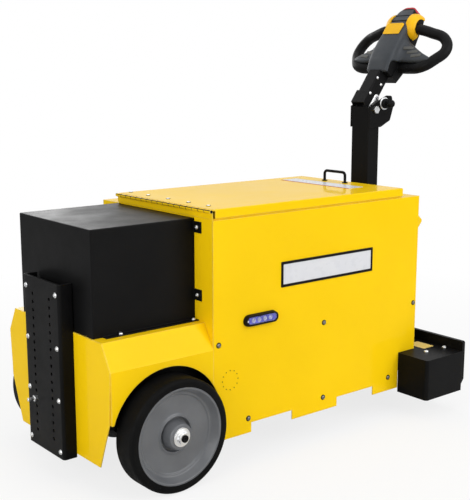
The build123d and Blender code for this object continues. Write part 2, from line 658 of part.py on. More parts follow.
# Drive wheels: solid tyre on a dished cast hub, carried by a shaft with a washer and nut outside
half_wheel = WHEEL_W / 2
rim_r = RIM_D / 2
for side_name, side in SIDES.items():
    wheel_y = side * TRACK / 2
    wheel_axis = Axis((axle_x, 0, axle_z), (0, 1, 0))
    wheel_plane = Plane((axle_x, wheel_y, axle_z), x_dir=(0, side, 0), z_dir=(side, 0, 0))
    with BuildPart() as tyre:
        with BuildSketch(wheel_plane) as tyre_section:
            with Locations((0, (axle_z + rim_r + FIT) / 2)):
                Rectangle(WHEEL_W, axle_z - rim_r - FIT)
            fillet(tyre_section.vertices().group_by(Axis.Y)[-1], TYRE_SHOULDER_R)
        revolve(axis=wheel_axis)
    finish(tyre, f"tyre_{side_name}")

    with BuildPart() as hub:
        with BuildSketch(wheel_plane):
            with BuildLine():
                Polyline(
                    (half_wheel - HUB_LIP_STEP, rim_r),
                    (half_wheel - HUB_LIP_STEP, rim_r - HUB_LIP),
                    (HUB_WEB_OUT, rim_r - HUB_LIP * 2.5),
                    (HUB_WEB_OUT, BOSS_FOOT_R),
                    (half_wheel, BOSS_R),
                    (half_wheel, SHAFT_R + FIT),
                    (-half_wheel + HUB_LIP, SHAFT_R + FIT),
                    (-half_wheel + HUB_LIP, BOSS_R),
                    (HUB_WEB_OUT - HUB_WEB_T, BOSS_FOOT_R),
                    (HUB_WEB_OUT - HUB_WEB_T, rim_r - HUB_LIP * 2.5),
                    (-half_wheel + HUB_LIP_STEP, rim_r - HUB_LIP),
                    (-half_wheel + HUB_LIP_STEP, rim_r),
                    close=True,
                )
            make_face()
        revolve(axis=wheel_axis)
    finish(hub, f"hub_{side_name}")

    with BuildPart() as axle_shaft:
        shaft_in = plate_y - AXLE_PLATE_T - AXLE_PLATE_INSET - TRACK / 2
        nut_start = half_wheel + WASHER_T
        with BuildSketch(wheel_plane):
            with BuildLine():
                Polyline(
                    (shaft_in, 0),
                    (shaft_in, SHAFT_R),
                    (half_wheel, SHAFT_R),
                    (half_wheel, WASHER_R),
                    (nut_start, WASHER_R),
                    (nut_start, SHAFT_R),
                    (nut_start + NUT_T, SHAFT_R),
                    (nut_start + NUT_T, 0),
                    close=True,
                )
            make_face()
        revolve(axis=wheel_axis)
        nut_plane = Plane((axle_x, wheel_y + side * nut_start, axle_z), x_dir=(1, 0, 0), z_dir=(0, side, 0))
        with BuildSketch(nut_plane):
            RegularPolygon(NUT_R, 6)
            Circle(SHAFT_R * 0.7, mode=Mode.SUBTRACT)
        extrude(amount=NUT_T * 0.8)
    finish(axle_shaft, f"axle_shaft_{side_name}")

# Swivel caster under the tiller-end deck: fixed plate and race, turning fork, wheel
caster_plate_z = REAR_DECK_Z - REAR_DECK_T - CASTER_PLATE[2]
crown_z = CASTER_WHEEL_D + CASTER_GAP
crown_top = crown_z + CASTER_CROWN_T
with BuildPart() as caster_plate:
    plate_half_x, plate_half_y = CASTER_PLATE[0] / 2, CASTER_PLATE[1] / 2
    block(
        (caster_x - plate_half_x, caster_x + plate_half_x),
        (-plate_half_y, plate_half_y),
        (caster_plate_z, caster_plate_z + CASTER_PLATE[2]),
    )
    with BuildSketch(Plane((caster_x, 0, caster_plate_z))):
        Circle(CASTER_RACE_R)
    extrude(amount=crown_top + SEAM - caster_plate_z)
    with BuildSketch(Plane((caster_x, 0, crown_top))):
        Circle(SHAFT_R + FIT)
    extrude(amount=caster_plate_z - crown_top, mode=Mode.SUBTRACT)
finish(caster_plate, "caster_plate")

caster_axle_x = caster_x - CASTER_TRAIL
caster_axle_z = CASTER_WHEEL_D / 2
leg_y = CASTER_WHEEL_W / 2 + CASTER_GAP
with BuildPart() as caster_fork:
    with BuildSketch(Plane((caster_x, 0, crown_z))):
        Circle(CASTER_RACE_R)
    extrude(amount=CASTER_CROWN_T)
    with BuildSketch(Plane((caster_x, 0, crown_top))):
        Circle(SHAFT_R)
    extrude(amount=caster_plate_z - crown_top - SEAM)
    for side in SIDES.values():
        with BuildSketch(Plane((caster_x, side * leg_y, crown_top), x_dir=(1, 0, 0), z_dir=(0, -1, 0))):
            with BuildLine():
                Polyline(
                    (CASTER_RACE_R * 0.7, 0),
                    (-CASTER_RACE_R * 0.7, 0),
                    (-CASTER_TRAIL - CASTER_PIN_R * 2.5, caster_axle_z - crown_top),
                    (-CASTER_TRAIL, caster_axle_z - crown_top - CASTER_PIN_R * 2.5),
                    (-CASTER_TRAIL + CASTER_PIN_R * 2.5, caster_axle_z - crown_top),
                    close=True,
                )
            make_face()
        extrude(amount=-side * CASTER_LEG_T)
    with BuildSketch(Plane((caster_axle_x, 0, caster_axle_z), x_dir=(1, 0, 0), z_dir=(0, 1, 0))):
        Circle(CASTER_PIN_R)
    extrude(amount=caster_half + CASTER_LEG_T, both=True)
finish(caster_fork, "caster_fork")

caster_wheel_plane = Plane((caster_axle_x, 0, caster_axle_z), x_dir=(0, 1, 0), z_dir=(1, 0, 0))
caster_axis = Axis((caster_axle_x, 0, caster_axle_z), (0, 1, 0))
half_caster = CASTER_WHEEL_W / 2
with BuildPart() as caster_hub:
    with BuildSketch(caster_wheel_plane):
        with BuildLine():
            Polyline(
                (-half_caster, CASTER_PIN_R + FIT),
                (-half_caster, CASTER_PIN_R * 2.2),
                (-half_caster / 2, CASTER_PIN_R * 3),
                (-half_caster / 2, CASTER_HUB_R * 0.8),
                (-half_caster * 0.9, CASTER_HUB_R * 0.9),
                (-half_caster * 0.9, CASTER_HUB_R),
                (half_caster * 0.9, CASTER_HUB_R),
                (half_caster * 0.9, CASTER_HUB_R * 0.9),
                (half_caster / 2, CASTER_HUB_R * 0.8),
                (half_caster / 2, CASTER_PIN_R * 3),
                (half_caster, CASTER_PIN_R * 2.2),
                (half_caster, CASTER_PIN_R + FIT),
                close=True,
            )
        make_face()
    revolve(axis=caster_axis)
finish(caster_hub, "caster_hub")

with BuildPart() as caster_tyre:
    with BuildSketch(caster_wheel_plane) as caster_section:
        with Locations((0, (caster_axle_z + CASTER_HUB_R + FIT) / 2)):
            Rectangle(CASTER_WHEEL_W, caster_axle_z - CASTER_HUB_R - FIT)
        fillet(caster_section.vertices().group_by(Axis.Y)[-1], TYRE_SHOULDER_R)
    revolve(axis=caster_axis)
finish(caster_tyre, "caster_tyre")

# Tiller column: an upright tube behind the body, its top open to the rear for the arm
column_x0 = rear_x + COLUMN_GAP
column_x1 = column_x0 + COLUMN_DEPTH
pivot_x = (column_x0 + column_x1) / 2
column_half = COLUMN_WIDTH / 2
with BuildPart() as tiller_column:
    base_x1 = rear_x + SEAM + COLUMN_BASE[0]
    base_half = COLUMN_BASE[1] / 2
    base_z = REAR_DECK_Z + COLUMN_BASE[2]
    block((column_x0, column_x1), (-column_half, column_half), (REAR_DECK_Z, COLUMN_FRONT_Z))
    fillet(tiller_column.edges().filter_by(Axis.Z), COLUMN_WALL)
    block(
        (column_x0 + COLUMN_WALL, column_x1 - COLUMN_WALL),
        (-column_half + COLUMN_WALL, column_half - COLUMN_WALL),
        (base_z, COLUMN_FRONT_Z),
        mode=Mode.SUBTRACT,
    )
    block(
        (column_x1 - COLUMN_WALL, column_x1),
        (-column_half + COLUMN_WALL, column_half - COLUMN_WALL),
        (COLUMN_REAR_Z, COLUMN_FRONT_Z),
        mode=Mode.SUBTRACT,
    )
    block((rear_x + SEAM, base_x1), (-base_half, base_half), (REAR_DECK_Z, base_z))
    with BuildSketch(Plane((pivot_x, 0, PIVOT_Z), x_dir=(1, 0, 0), z_dir=(0, 1, 0))):
        Circle(PIVOT_R + FIT)
    extrude(amount=COLUMN_WIDTH, both=True, mode=Mode.SUBTRACT)
    # cheeks on its sides, which reach back beyond the column and are cut off on a slant above the pivot
    for side in SIDES.values():
        cheek_plane = Plane((pivot_x, side * column_half, PIVOT_Z), x_dir=(1, 0, 0), z_dir=(0, -1, 0))
        with BuildSketch(cheek_plane) as cheek_face:
            with BuildLine():
                Polyline(*CHEEK, close=True)
            make_face()
            fillet(cheek_face.vertices().filter_by(lambda v: v.X > CHEEK[0][0] + FIT), CHEEK_CORNER_R)
            Circle(PIVOT_R + FIT, mode=Mode.SUBTRACT)
        extrude(amount=-side * CHEEK_T)
finish(tiller_column, "tiller_column")

# Pivot bolt through the cheeks
cheek_y = column_half + CHEEK_T
with BuildPart() as pivot_bolt:
    with BuildSketch(Plane((pivot_x, 0, PIVOT_Z), x_dir=(1, 0, 0), z_dir=(0, 1, 0))):
        Circle(PIVOT_R)
    extrude(amount=cheek_y, both=True)
    for side in SIDES.values():
        with BuildSketch(Plane((pivot_x, side * cheek_y, PIVOT_Z), x_dir=(1, 0, 0), z_dir=(0, side, 0))):
            RegularPolygon(PIVOT_R * 1.8, 6)
        extrude(amount=PIVOT_R)
finish(pivot_bolt, "pivot_bolt")

# Index knob on the right cheek: washer, stem and ball
knob_x = pivot_x + KNOB_RADIUS * cos(radians(KNOB_ANGLE))
knob_z = PIVOT_Z + KNOB_RADIUS * sin(radians(KNOB_ANGLE))
with BuildPart() as index_knob:
    with BuildSketch(Plane((knob_x, -cheek_y, knob_z), x_dir=(0, -1, 0), z_dir=(1, 0, 0))):
        with BuildLine():
            ball_y = KNOB_STEM
            neck_y = ball_y - sqrt(KNOB_BALL_R**2 - (KNOB_BALL_R / 2) ** 2)
            Polyline(
                (ball_y + KNOB_BALL_R, 0),
                (0, 0),
                (0, KNOB_WASHER_R),
                (TAB_T, KNOB_WASHER_R),
                (TAB_T, KNOB_BALL_R / 2),
                (neck_y, KNOB_BALL_R / 2),
            )
            ThreePointArc((neck_y, KNOB_BALL_R / 2), (ball_y, KNOB_BALL_R), (ball_y + KNOB_BALL_R, 0))
        make_face()
    revolve(axis=Axis((knob_x, 0, knob_z), (0, 1, 0)))
finish(index_knob, "index_knob")

# Frame of the tilting tiller: along the arm, across it, and its level above the pivot
lean = radians(TILT)
pivot = Vector(pivot_x, 0, PIVOT_Z)
along = Vector(sin(lean), 0, cos(lean))
level_up = Vector(-cos(lean), 0, sin(lean))
side_plane = Plane(pivot, x_dir=along, z_dir=(0, -1, 0))  # along, level


def cross_plane(distance):
    """Plane square to the arm: its axes are left and level."""
    return Plane(pivot + along * distance, x_dir=(0, 1, 0), z_dir=along)


def flat_plane(level):
    """Plane of the loop: its axes are right and along."""
    return Plane(pivot + level_up * level, x_dir=(0, -1, 0), z_dir=level_up)


# Arm: a square tube from the bracket to the head
arm_half = ARM_SIZE / 2
head_start = SPINE[0][0]
with BuildPart() as tiller_arm:
    with BuildSketch(cross_plane(ARM_START)):
        with Locations((0, ARM_OFFSET)):
            RectangleRounded(ARM_SIZE, ARM_SIZE, ARM_WALL)
            Rectangle(ARM_SIZE - 2 * ARM_WALL, ARM_SIZE - 2 * ARM_WALL, mode=Mode.SUBTRACT)
    extrude(amount=head_start - ARM_START)
finish(tiller_arm, "tiller_arm")

# Bracket: two plates and a front plate round the arm's foot, with eyes on the pivot bolt
bracket_in = arm_half + SEAM
bracket_out = bracket_in + BRACKET_T
bracket_high = ARM_OFFSET + bracket_out
bracket_low = ARM_OFFSET - arm_half
with BuildPart() as arm_bracket:
    with BuildSketch(side_plane):
        Circle(BRACKET_EYE_R)
        with BuildLine():
            Polyline(
                (0, -BRACKET_EYE_R),
                (ARM_START, bracket_low),
                (BRACKET_END, bracket_low),
                (BRACKET_END, bracket_high),
                (-BRACKET_T, bracket_high),
                (-BRACKET_EYE_R, 0),
                close=True,
            )
        make_face()
    extrude(amount=bracket_out, both=True)
    with BuildSketch(side_plane):
        with Locations((0, bracket_low - BRACKET_EYE_R)):
            Rectangle(
                BRACKET_END * 4,
                bracket_high - BRACKET_T - bracket_low + BRACKET_EYE_R,
                align=(Align.CENTER, Align.MIN),
            )
    extrude(amount=bracket_in, both=True, mode=Mode.SUBTRACT)
    # room for the column's front wall
    block(
        (column_x0 - COLUMN_DEPTH, column_x0 + COLUMN_WALL + LID_GAP),
        (-column_half, column_half),
        (COLUMN_REAR_Z, COLUMN_FRONT_Z + LID_GAP),
        mode=Mode.SUBTRACT,
    )
    with BuildSketch(side_plane):
        Circle(PIVOT_R + FIT)
    extrude(amount=bracket_out, both=True, mode=Mode.SUBTRACT)
finish(arm_bracket, "arm_bracket")

# Zinc index tab between the bracket and the right cheek
with BuildPart() as index_tab:
    with BuildSketch(side_plane.offset(bracket_out)):
        Circle(BRACKET_EYE_R)
        with Locations((TAB_REACH - TAB_R, ARM_OFFSET)):
            Circle(TAB_R)
        make_hull()
        Circle(PIVOT_R + FIT, mode=Mode.SUBTRACT)
    extrude(amount=TAB_T)
finish(index_tab, "index_tab")

# Head: lofted spine and flat wings, parted into a lower and an upper shell
seam_plane = flat_plane(HEAD_SPLIT)
head_shells = []
for shell_name, kept in {"head_lower": Keep.BOTTOM, "head_upper": Keep.TOP}.items():
    with BuildPart() as head_shell:
        with BuildSketch(flat_plane(WING_LOW)) as wing_face:
            with BuildLine():
                Polyline(*WING, close=True)
            make_face()
            mirror(about=Plane.YZ)
            fillet(wing_face.vertices().filter_by(lambda v: abs(v.X) > WING[1][0]), WING_EDGE_R)
        extrude(amount=WING_TOP - WING_LOW)
        flat_faces = head_shell.faces().filter_by(seam_plane)
        fillet(flat_faces.edges(), WING_EDGE_R)
        for distance, half, low, high, corner in SPINE:
            with BuildSketch(cross_plane(distance)):
                with Locations((0, (low + high) / 2)):
                    RectangleRounded(half * 2, high - low, corner)
        loft()
        split(bisect_by=seam_plane, keep=kept)
    head_shells.append(head_shell.part)
    finish(head_shell, shell_name)

# Loop grips: a round bar bent from the head's foot round to the spine's upper end
loop_lean = radians(LOOP_TILT)
loop_up = along * cos(loop_lean) + level_up * sin(loop_lean)
loop_normal = level_up * cos(loop_lean) - along * sin(loop_lean)
loop_origin = pivot + along * LOOP_AT + level_up * LOOP_LEVEL
for side_name, side in SIDES.items():
    with BuildPart() as grip:
        with BuildLine(Plane(loop_origin, x_dir=(0, -1, 0), z_dir=loop_normal)):
            FilletPolyline(*[(-side * out, up) for out, up in LOOP], radius=LOOP_BEND_R)
        loop_start = loop_origin + Vector(0, side * LOOP[0][0], 0) + loop_up * LOOP[0][1]
        with BuildSketch(Plane(loop_start, x_dir=loop_up, z_dir=(0, side, 0))):
            Circle(GRIP_R)
        sweep()
        for shell in head_shells:
            add(shell, mode=Mode.SUBTRACT)
        kept_grip = grip.solids().sort_by(SortBy.VOLUME)[-1]
    grip.part = Part(kept_grip.wrapped)
    finish(grip, f"grip_{side_name}")

# Red push button that ends the spine
tip_distance, tip_half, tip_low, tip_high, tip_corner = SPINE[-1]
with BuildPart() as tip_button:
    with BuildSketch(cross_plane(tip_distance)):
        with Locations((0, (tip_low + tip_high) / 2)):
            RectangleRounded(tip_half * 2, tip_high - tip_low, tip_corner)
    extrude(amount=TIP_LENGTH, taper=TIP_TAPER)
finish(tip_button, "tip_button")

# Yellow push button on the spine's top, following its slope
with BuildPart() as horn_button:
    with BuildSketch(flat_plane(BUTTON_TOP)):
        with Locations((0, (BUTTON[0] + BUTTON[1]) / 2)):
            RectangleRounded(BUTTON_HALF * 2, BUTTON[1] - BUTTON[0], BUTTON_EDGE_R)
    extrude(amount=-BUTTON_EDGE_R * 2)
    for shell in head_shells:
        add(shell, mode=Mode.SUBTRACT)
finish(horn_button, "horn_button")

# Thumb paddles: crescents round the grips' upper ends, one on each side of the spine
with BuildPart() as thumb_paddles:
    for side in SIDES.values():
        paddle_at = pivot + along * PADDLE_AT + level_up * PADDLE_LEVEL + Vector(0, side * PADDLE_Y[0], 0)
        with BuildSketch(Plane(paddle_at, x_dir=along, z_dir=(0, -1, 0))):
            Circle(PADDLE_R)
            Circle(PADDLE_INNER_R, mode=Mode.SUBTRACT)
            with Locations((0, PADDLE_LOW)):
                Rectangle(PADDLE_R * 3, PADDLE_R, align=(Align.CENTER, Align.MAX), mode=Mode.SUBTRACT)
        extrude(amount=-side * (PADDLE_Y[1] - PADDLE_Y[0]))
    for shell in head_shells:
        add(shell, mode=Mode.SUBTRACT)
finish(thumb_paddles, "thumb_paddles")

print(len(finished), "pieces:", ", ".join(finished))
for axis_name in "XYZ":
    lowest = min(getattr(box.min, axis_name) for box in finished.values())
    highest = max(getattr(box.max, axis_name) for box in finished.values())
    print(axis_name, "from", round(lowest, 1), "to", round(highest, 1), "mm")
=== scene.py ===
# %% [markdown]
# A walk-behind electric tow tractor, dressed for its picture.
#
# The solids of the tractor come ready made, in metres, with +X towards the tiller, +Y to the left and
# +Z up.  They could be modelled again here, but a part that is already right is better kept: this lesson
# only gives it finishes, and adds what a sheet-metal shop adds last, such as screws, plates and grips.

from math import atan2, cos, pi, radians, sin

import bmesh
import bpy
from mathutils import Matrix, Vector


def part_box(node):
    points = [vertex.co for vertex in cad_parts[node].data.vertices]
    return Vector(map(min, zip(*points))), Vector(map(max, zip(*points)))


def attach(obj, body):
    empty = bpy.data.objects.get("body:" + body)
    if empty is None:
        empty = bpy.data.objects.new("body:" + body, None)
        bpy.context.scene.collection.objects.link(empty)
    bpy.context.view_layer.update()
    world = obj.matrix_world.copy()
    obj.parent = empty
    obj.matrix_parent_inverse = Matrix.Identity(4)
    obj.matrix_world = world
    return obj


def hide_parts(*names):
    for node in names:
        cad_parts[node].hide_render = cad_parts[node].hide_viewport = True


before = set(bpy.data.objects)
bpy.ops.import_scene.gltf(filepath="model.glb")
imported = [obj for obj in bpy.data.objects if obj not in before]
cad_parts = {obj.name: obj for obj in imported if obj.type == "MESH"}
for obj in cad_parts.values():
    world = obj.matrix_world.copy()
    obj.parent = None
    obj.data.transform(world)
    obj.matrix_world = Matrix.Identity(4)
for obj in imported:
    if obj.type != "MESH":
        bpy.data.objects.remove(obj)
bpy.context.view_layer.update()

# %% [markdown]
# The picture is taken from in front of the hitch, a little to the right, at about head height.
#
# A camera can be aimed by a tracking constraint, but plain numbers are easier to read and to repeat: a
# place, a tilt below the horizon and a turn about the upright.  The place is measured from the body's
# front wall, and the small shift slides the picture on the sensor without turning the camera.

# %% Camera
front_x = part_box("front_wall")[0].x
camera_place = (front_x - 1.4862, -2.2011, 1.0680)
camera_dip = 10.83
camera_heading = -39.13
camera_turn = (radians(90 - camera_dip), 0, radians(camera_heading))
bpy.ops.object.camera_add(location=camera_place, rotation=camera_turn)
camera = bpy.context.object
camera.name = "camera"
camera.data.sensor_width = 36
camera.data.lens = 68.81
camera.data.shift_x = -0.0069
camera.data.shift_y = 0.0076
bpy.context.scene.camera = camera
print("camera at", camera_place, "with a lens of", camera.data.lens, "mm")

# %% [markdown]
# A product like this is photographed on a white sweep with large soft lamps: one overhead, one from the
# right that lights the long side, and weaker ones from the hitch end and the left.
#
# The lamps stay at a plain level, at which a colour renders about as it is written.  The white behind
# the tractor is no lamp: the world is white only for what the camera and mirrors see, and gives the
# shaded sides a much weaker light.

# %% Lamps and world
lamps = [
    # name, place, aim, size, watts
    ("overhead", (0.1, -0.4, 3.4), (0.0, 0.0, 0.4), 4.0, 40),
    ("key_right", (1.2, -3.9, 2.3), (0.1, 0.0, 0.4), 3.4, 120),
    ("fill_hitch", (-3.6, -0.9, 1.7), (-0.2, 0.0, 0.4), 2.4, 64),
    ("fill_left", (0.6, 3.8, 2.2), (0.0, 0.0, 0.4), 2.0, 55),
]
for name, place, aim, size, watts in lamps:
    facing = (Vector(aim) - Vector(place)).to_track_quat("-Z", "Y").to_euler()
    bpy.ops.object.light_add(type="AREA", location=place, rotation=facing)
    lamp = bpy.context.object
    lamp.name = name
    lamp.data.size = size
    lamp.data.energy = watts


def new_node(tree, kind, values=None, **settings):
    """The outputs of a new shader node, whose sockets take plain values or the outputs of other nodes."""
    node = tree.nodes.new("ShaderNode" + kind)
    for setting, value in settings.items():
        setattr(node, setting, value)
    for socket, value in (values or {}).items():
        if isinstance(value, bpy.types.NodeSocket):
            tree.links.new(value, node.inputs[socket])
        else:
            node.inputs[socket].default_value = value
    return node.outputs


white = (1.0, 1.0, 1.0, 1.0)
shaded_light = 0.30
world = bpy.data.worlds.new("white_studio")
bpy.context.scene.world = world
world.use_nodes = True
sky = world.node_tree
room = sky.nodes["Background"]
room.inputs["Color"].default_value = white
rays = new_node(sky, "LightPath")
seen = new_node(sky, "Math", {0: rays["Is Camera Ray"], 1: rays["Is Glossy Ray"]}, operation="ADD")
shown = new_node(sky, "Math", {0: seen["Value"], 1: rays["Is Transmission Ray"]}, operation="ADD")
level = new_node(sky, "MapRange", {"Value": shown["Value"], "To Min": shaded_light, "To Max": 1.0})
sky.links.new(level["Result"], room.inputs["Strength"])
bpy.context.scene.view_settings.view_transform = "Standard"
print("lamps:", ", ".join(lamp[0] for lamp in lamps))

# %% [markdown]
# The floor is a plain pale sheet that fades to white with the distance, like a paper sweep.
#
# A real sweep is a curved sheet.  Here a flat one does, because the camera sees its white share by the
# Light Path node, and that share grows outwards from the tractor until no edge is left to see.  Close to
# the wheels a share of it is ordinary matt white, so that the tractor keeps its soft shadow.

# %% Floor
bpy.ops.object.select_all(action="DESELECT")
bpy.ops.mesh.primitive_circle_add(vertices=64, radius=30.0, fill_type="NGON", location=(0, 0, 0))
floor = bpy.context.object
floor.name = "floor"

paper = bpy.data.materials.new("paper_sweep")
paper.use_nodes = True
tree = paper.node_tree
tree.nodes.remove(tree.nodes["Principled BSDF"])
matt = new_node(tree, "BsdfDiffuse", {"Color": (0.80, 0.80, 0.80, 1.0)})
glow = new_node(tree, "Emission", {"Color": white})
rays = new_node(tree, "LightPath")
distance = new_node(tree, "VectorMath", {0: new_node(tree, "TexCoord")["Object"]}, operation="LENGTH")
fading = {"Value": distance["Value"], "From Min": 0.6, "From Max": 2.4, "To Min": 0.80, "To Max": 1.0}
fade = new_node(tree, "MapRange", fading)
share = new_node(tree, "Math", {0: fade["Result"], 1: rays["Is Camera Ray"]}, operation="MULTIPLY")
blend = new_node(tree, "MixShader", {"Fac": share["Value"], 1: matt["BSDF"], 2: glow["Emission"]})
tree.links.new(blend["Shader"], tree.nodes["Material Output"].inputs["Surface"])
floor.data.materials.append(paper)
print("floor", floor.dimensions.x, "m across")

# %% [markdown]
# Every finish starts from the same few steps, so they get small helpers.
#
# A finish could be one flat colour, but then it looks like a toy.  Real paint has a faint orange peel,
# rubber has dust, and every bent edge catches light.  The noise reads the piece's own space, so the
# pattern stays on the piece when it moves.  The Bevel node rounds edges in the shading only: it finds them
# by looking around the point, so it also works on solids whose triangles aren't joined.

# %% Helpers for finishes
def start_finish(name, settings):
    """A new finish, with the plain values of its shader set."""
    finish = bpy.data.materials.new(name)
    finish.use_nodes = True
    shader = finish.node_tree.nodes["Principled BSDF"]
    for socket, value in settings.items():
        shader.inputs[socket].default_value = value
    return finish


def cloud(tree, scale, detail):
    """Noise in the piece's own space, from 0 to 1."""
    space = new_node(tree, "TexCoord")["Object"]
    return new_node(tree, "TexNoise", {"Vector": space, "Scale": scale, "Detail": detail})["Fac"]


def stretch(tree, value, low, high):
    """The middle part of a noise, stretched from low to high."""
    spread = {"Value": value, "From Min": 0.3, "From Max": 0.7, "To Min": low, "To Max": high}
    return new_node(tree, "MapRange", spread)["Result"]


def mix(tree, share, first, second):
    """A colour between two, each a plain tone or the colour of another node."""
    ends = [(*end, 1.0) if isinstance(end, tuple) else end for end in (first, second)]
    return new_node(tree, "Mix", {"Factor": share, "A": ends[0], "B": ends[1]}, data_type="RGBA")["Result"]


def near_edge(tree, radius):
    """Normals rounded over the edges, and how near an edge is, from 0 to 1."""
    rounded = new_node(tree, "Bevel", {"Radius": radius}, samples=4)["Normal"]
    flat = new_node(tree, "NewGeometry")["True Normal"]
    turned = new_node(tree, "VectorMath", {0: rounded, 1: flat}, operation="DOT_PRODUCT")["Value"]
    share = new_node(tree, "MapRange", {"Value": turned, "From Min": 0.99, "From Max": 0.80})["Result"]
    return rounded, share


def relief(tree, height, depth, strength, normal=None):
    """Bumps of that depth, over a rounded normal where one is given."""
    values = {"Height": height, "Distance": depth, "Strength": strength}
    if normal is not None:
        values["Normal"] = normal
    return new_node(tree, "Bump", values)["Normal"]


def send(tree, value, socket):
    """Links a value to one socket of the shader."""
    tree.links.new(value, tree.nodes["Principled BSDF"].inputs[socket])


finishes = {}
print("helpers for finishes are ready")

# %% [markdown]
# One recipe takes up these steps.  Paint, castings, rubber, plating and plastics differ only in its numbers.
#
# Each noise is written as its scale and its detail, followed by what it drives: the breakup of the edge tone
# (the wear, and on the yellow paint the painted highlight) runs from a least to a most, the gloss over a
# range of roughness, and the grain has a depth in metres and a strength.

# %% Recipe for a finish
def surface(name, settings, edge, patches, tones, edge_wear_and_highlight, gloss, grain, edge_breakup=None):
    """Two tones in patches, edges rounded over a radius and given an edge tone, which is wear on most
    finishes and a painted highlight on the yellow paint, uneven gloss and a fine grain.
    """
    finish = start_finish(name, settings)
    tree = finish.node_tree
    normal, edge_wear_and_highlight_share = near_edge(tree, edge)
    if edge_breakup is not None:
        edge_breakup_noise = stretch(tree, cloud(tree, *edge_breakup[:2]), *edge_breakup[2:])
        edge_wear_and_highlight_share = new_node(tree, "Math", {0: edge_wear_and_highlight_share, 1: edge_breakup_noise}, operation="MULTIPLY")["Value"]
    colour = mix(tree, stretch(tree, cloud(tree, *patches), 0.0, 1.0), *tones)
    # The edge tone is wear on most finishes, and a painted highlight on the yellow paint.
    send(tree, mix(tree, edge_wear_and_highlight_share, colour, edge_wear_and_highlight), "Base Color")
    send(tree, stretch(tree, cloud(tree, *gloss[:2]), *gloss[2:]), "Roughness")
    send(tree, relief(tree, cloud(tree, *grain[:2]), *grain[2:], normal), "Normal")
    finishes[name] = finish
    print(name, "is mixed from", len(tree.nodes), "nodes")


print("the recipe is ready")

# %% [markdown]
# The body is folded steel sheet with a glossy yellow coat.
#
# A coat layer over the colour gives the wet look: seen flat along the lid it mirrors the white studio and
# turns pale, while the upright side stays a full yellow.  The orange peel is a few thousandths of a
# millimetre of bump, and the edges are a touch lighter: a painted highlight along the folds.

# %% Yellow paint
wet_coat = {"Coat Weight": 0.38, "Coat IOR": 1.2, "Coat Roughness": 0.06, "Specular IOR Level": 0.02}
# The lighter edge tone of the yellow paint is a painted highlight along the bent edges, broken up by a noise.
surface("yellow_paint", wet_coat, edge=0.0034, patches=(2.2, 3.0),
        tones=((0.86, 0.548, 0.0030), (0.93, 0.603, 0.0045)), edge_wear_and_highlight=(1.0, 0.80, 0.20),
        gloss=(9.0, 5.0, 0.30, 0.40), grain=(420.0, 2.0, 0.0002, 0.10), edge_breakup=(60.0, 5.0, 0.25, 0.9))

# %% [markdown]
# The box, hitch channel, column and deck carry a satin black powder coat.
#
# Powder coat is a fine, even pebble.  Its shine comes from a rough, weak highlight, so the black stays
# black in front and turns grey only where it is seen along the surface.  Rubbed edges show dark grey.

# %% Black paint
surface("black_paint", {"Specular IOR Level": 0.07}, edge=0.0020, patches=(5.0, 4.0),
        tones=((0.0026, 0.0026, 0.0028), (0.0048, 0.0048, 0.0050)), edge_wear_and_highlight=(0.055, 0.054, 0.052),
        gloss=(14.0, 5.0, 0.36, 0.48), grain=(900.0, 2.0, 0.0003, 0.22), edge_breakup=(75.0, 5.0, 0.0, 0.6))

# %% [markdown]
# The wheels are cast and painted grey, and the gear case is a dark casting.
#
# A casting keeps the grain of its sand mould under the paint, which is coarser than powder coat.  Both
# greys share their numbers, apart from the tones.

# %% Castings
casting_tones = {
    "grey_casting": ((0.100, 0.105, 0.113), (0.128, 0.133, 0.142), (0.36, 0.37, 0.39)),
    "dark_casting": ((0.018, 0.018, 0.019), (0.032, 0.032, 0.033), (0.11, 0.11, 0.11)),
}
for name, (dark, light, edge_wear_and_highlight) in casting_tones.items():
    surface(name, {"Specular IOR Level": 0.50}, edge=0.0015, patches=(16.0, 6.0), tones=(dark, light),
            edge_wear_and_highlight=edge_wear_and_highlight, gloss=(30.0, 4.0, 0.30, 0.40), grain=(520.0, 3.0, 0.0005, 0.35),
            edge_breakup=(90.0, 4.0, 0.1, 0.9))

# %% [markdown]
# The tyres are solid black rubber with a little floor dust.
#
# Rubber has almost no clear highlight.  The dust is a second, lighter tone in large patches, and the fine
# bump keeps the side wall from looking like plastic.

# %% Rubber
surface("tyre", {"Specular IOR Level": 0.06}, edge=0.0020, patches=(11.0, 6.0),
        tones=((0.0020, 0.0020, 0.0021), (0.0046, 0.0046, 0.0045)), edge_wear_and_highlight=(0.014, 0.014, 0.014),
        gloss=(40.0, 4.0, 0.50, 0.68), grain=(700.0, 3.0, 0.0004, 0.30))

# %% [markdown]
# Bolts, nuts and washers are zinc plated, and the screws of the side panels are dark plated.
#
# Zinc is a metal with a soft, uneven mirror: the roughness changes in small patches, and the colour
# drifts a little between blue and straw.  The dark plating is the same mirror with less light in it.

# %% Plated metal
plating_tones = {
    "zinc": ((0.66, 0.675, 0.70), (0.74, 0.738, 0.725), (0.85, 0.85, 0.84)),
    "dark_zinc": ((0.15, 0.16, 0.19), (0.22, 0.22, 0.23), (0.46, 0.46, 0.47)),
}
for name, (blue, straw, edge_wear_and_highlight) in plating_tones.items():
    surface(name, {"Metallic": 1.0}, edge=0.0008, patches=(70.0, 4.0), tones=(blue, straw), edge_wear_and_highlight=edge_wear_and_highlight,
            gloss=(160.0, 4.0, 0.28, 0.36), grain=(1500.0, 2.0, 0.0002, 0.15))

# %% [markdown]
# The tiller head is moulded: slate grey on top, black below and on the grips, with yellow and red controls.
#
# Moulded plastic has an even, very fine grain from the etched mould.  The signs, labels and pads are plastic
# too, so all of them are mixed here, and only the tones, the roughness, the grain and the shine differ.

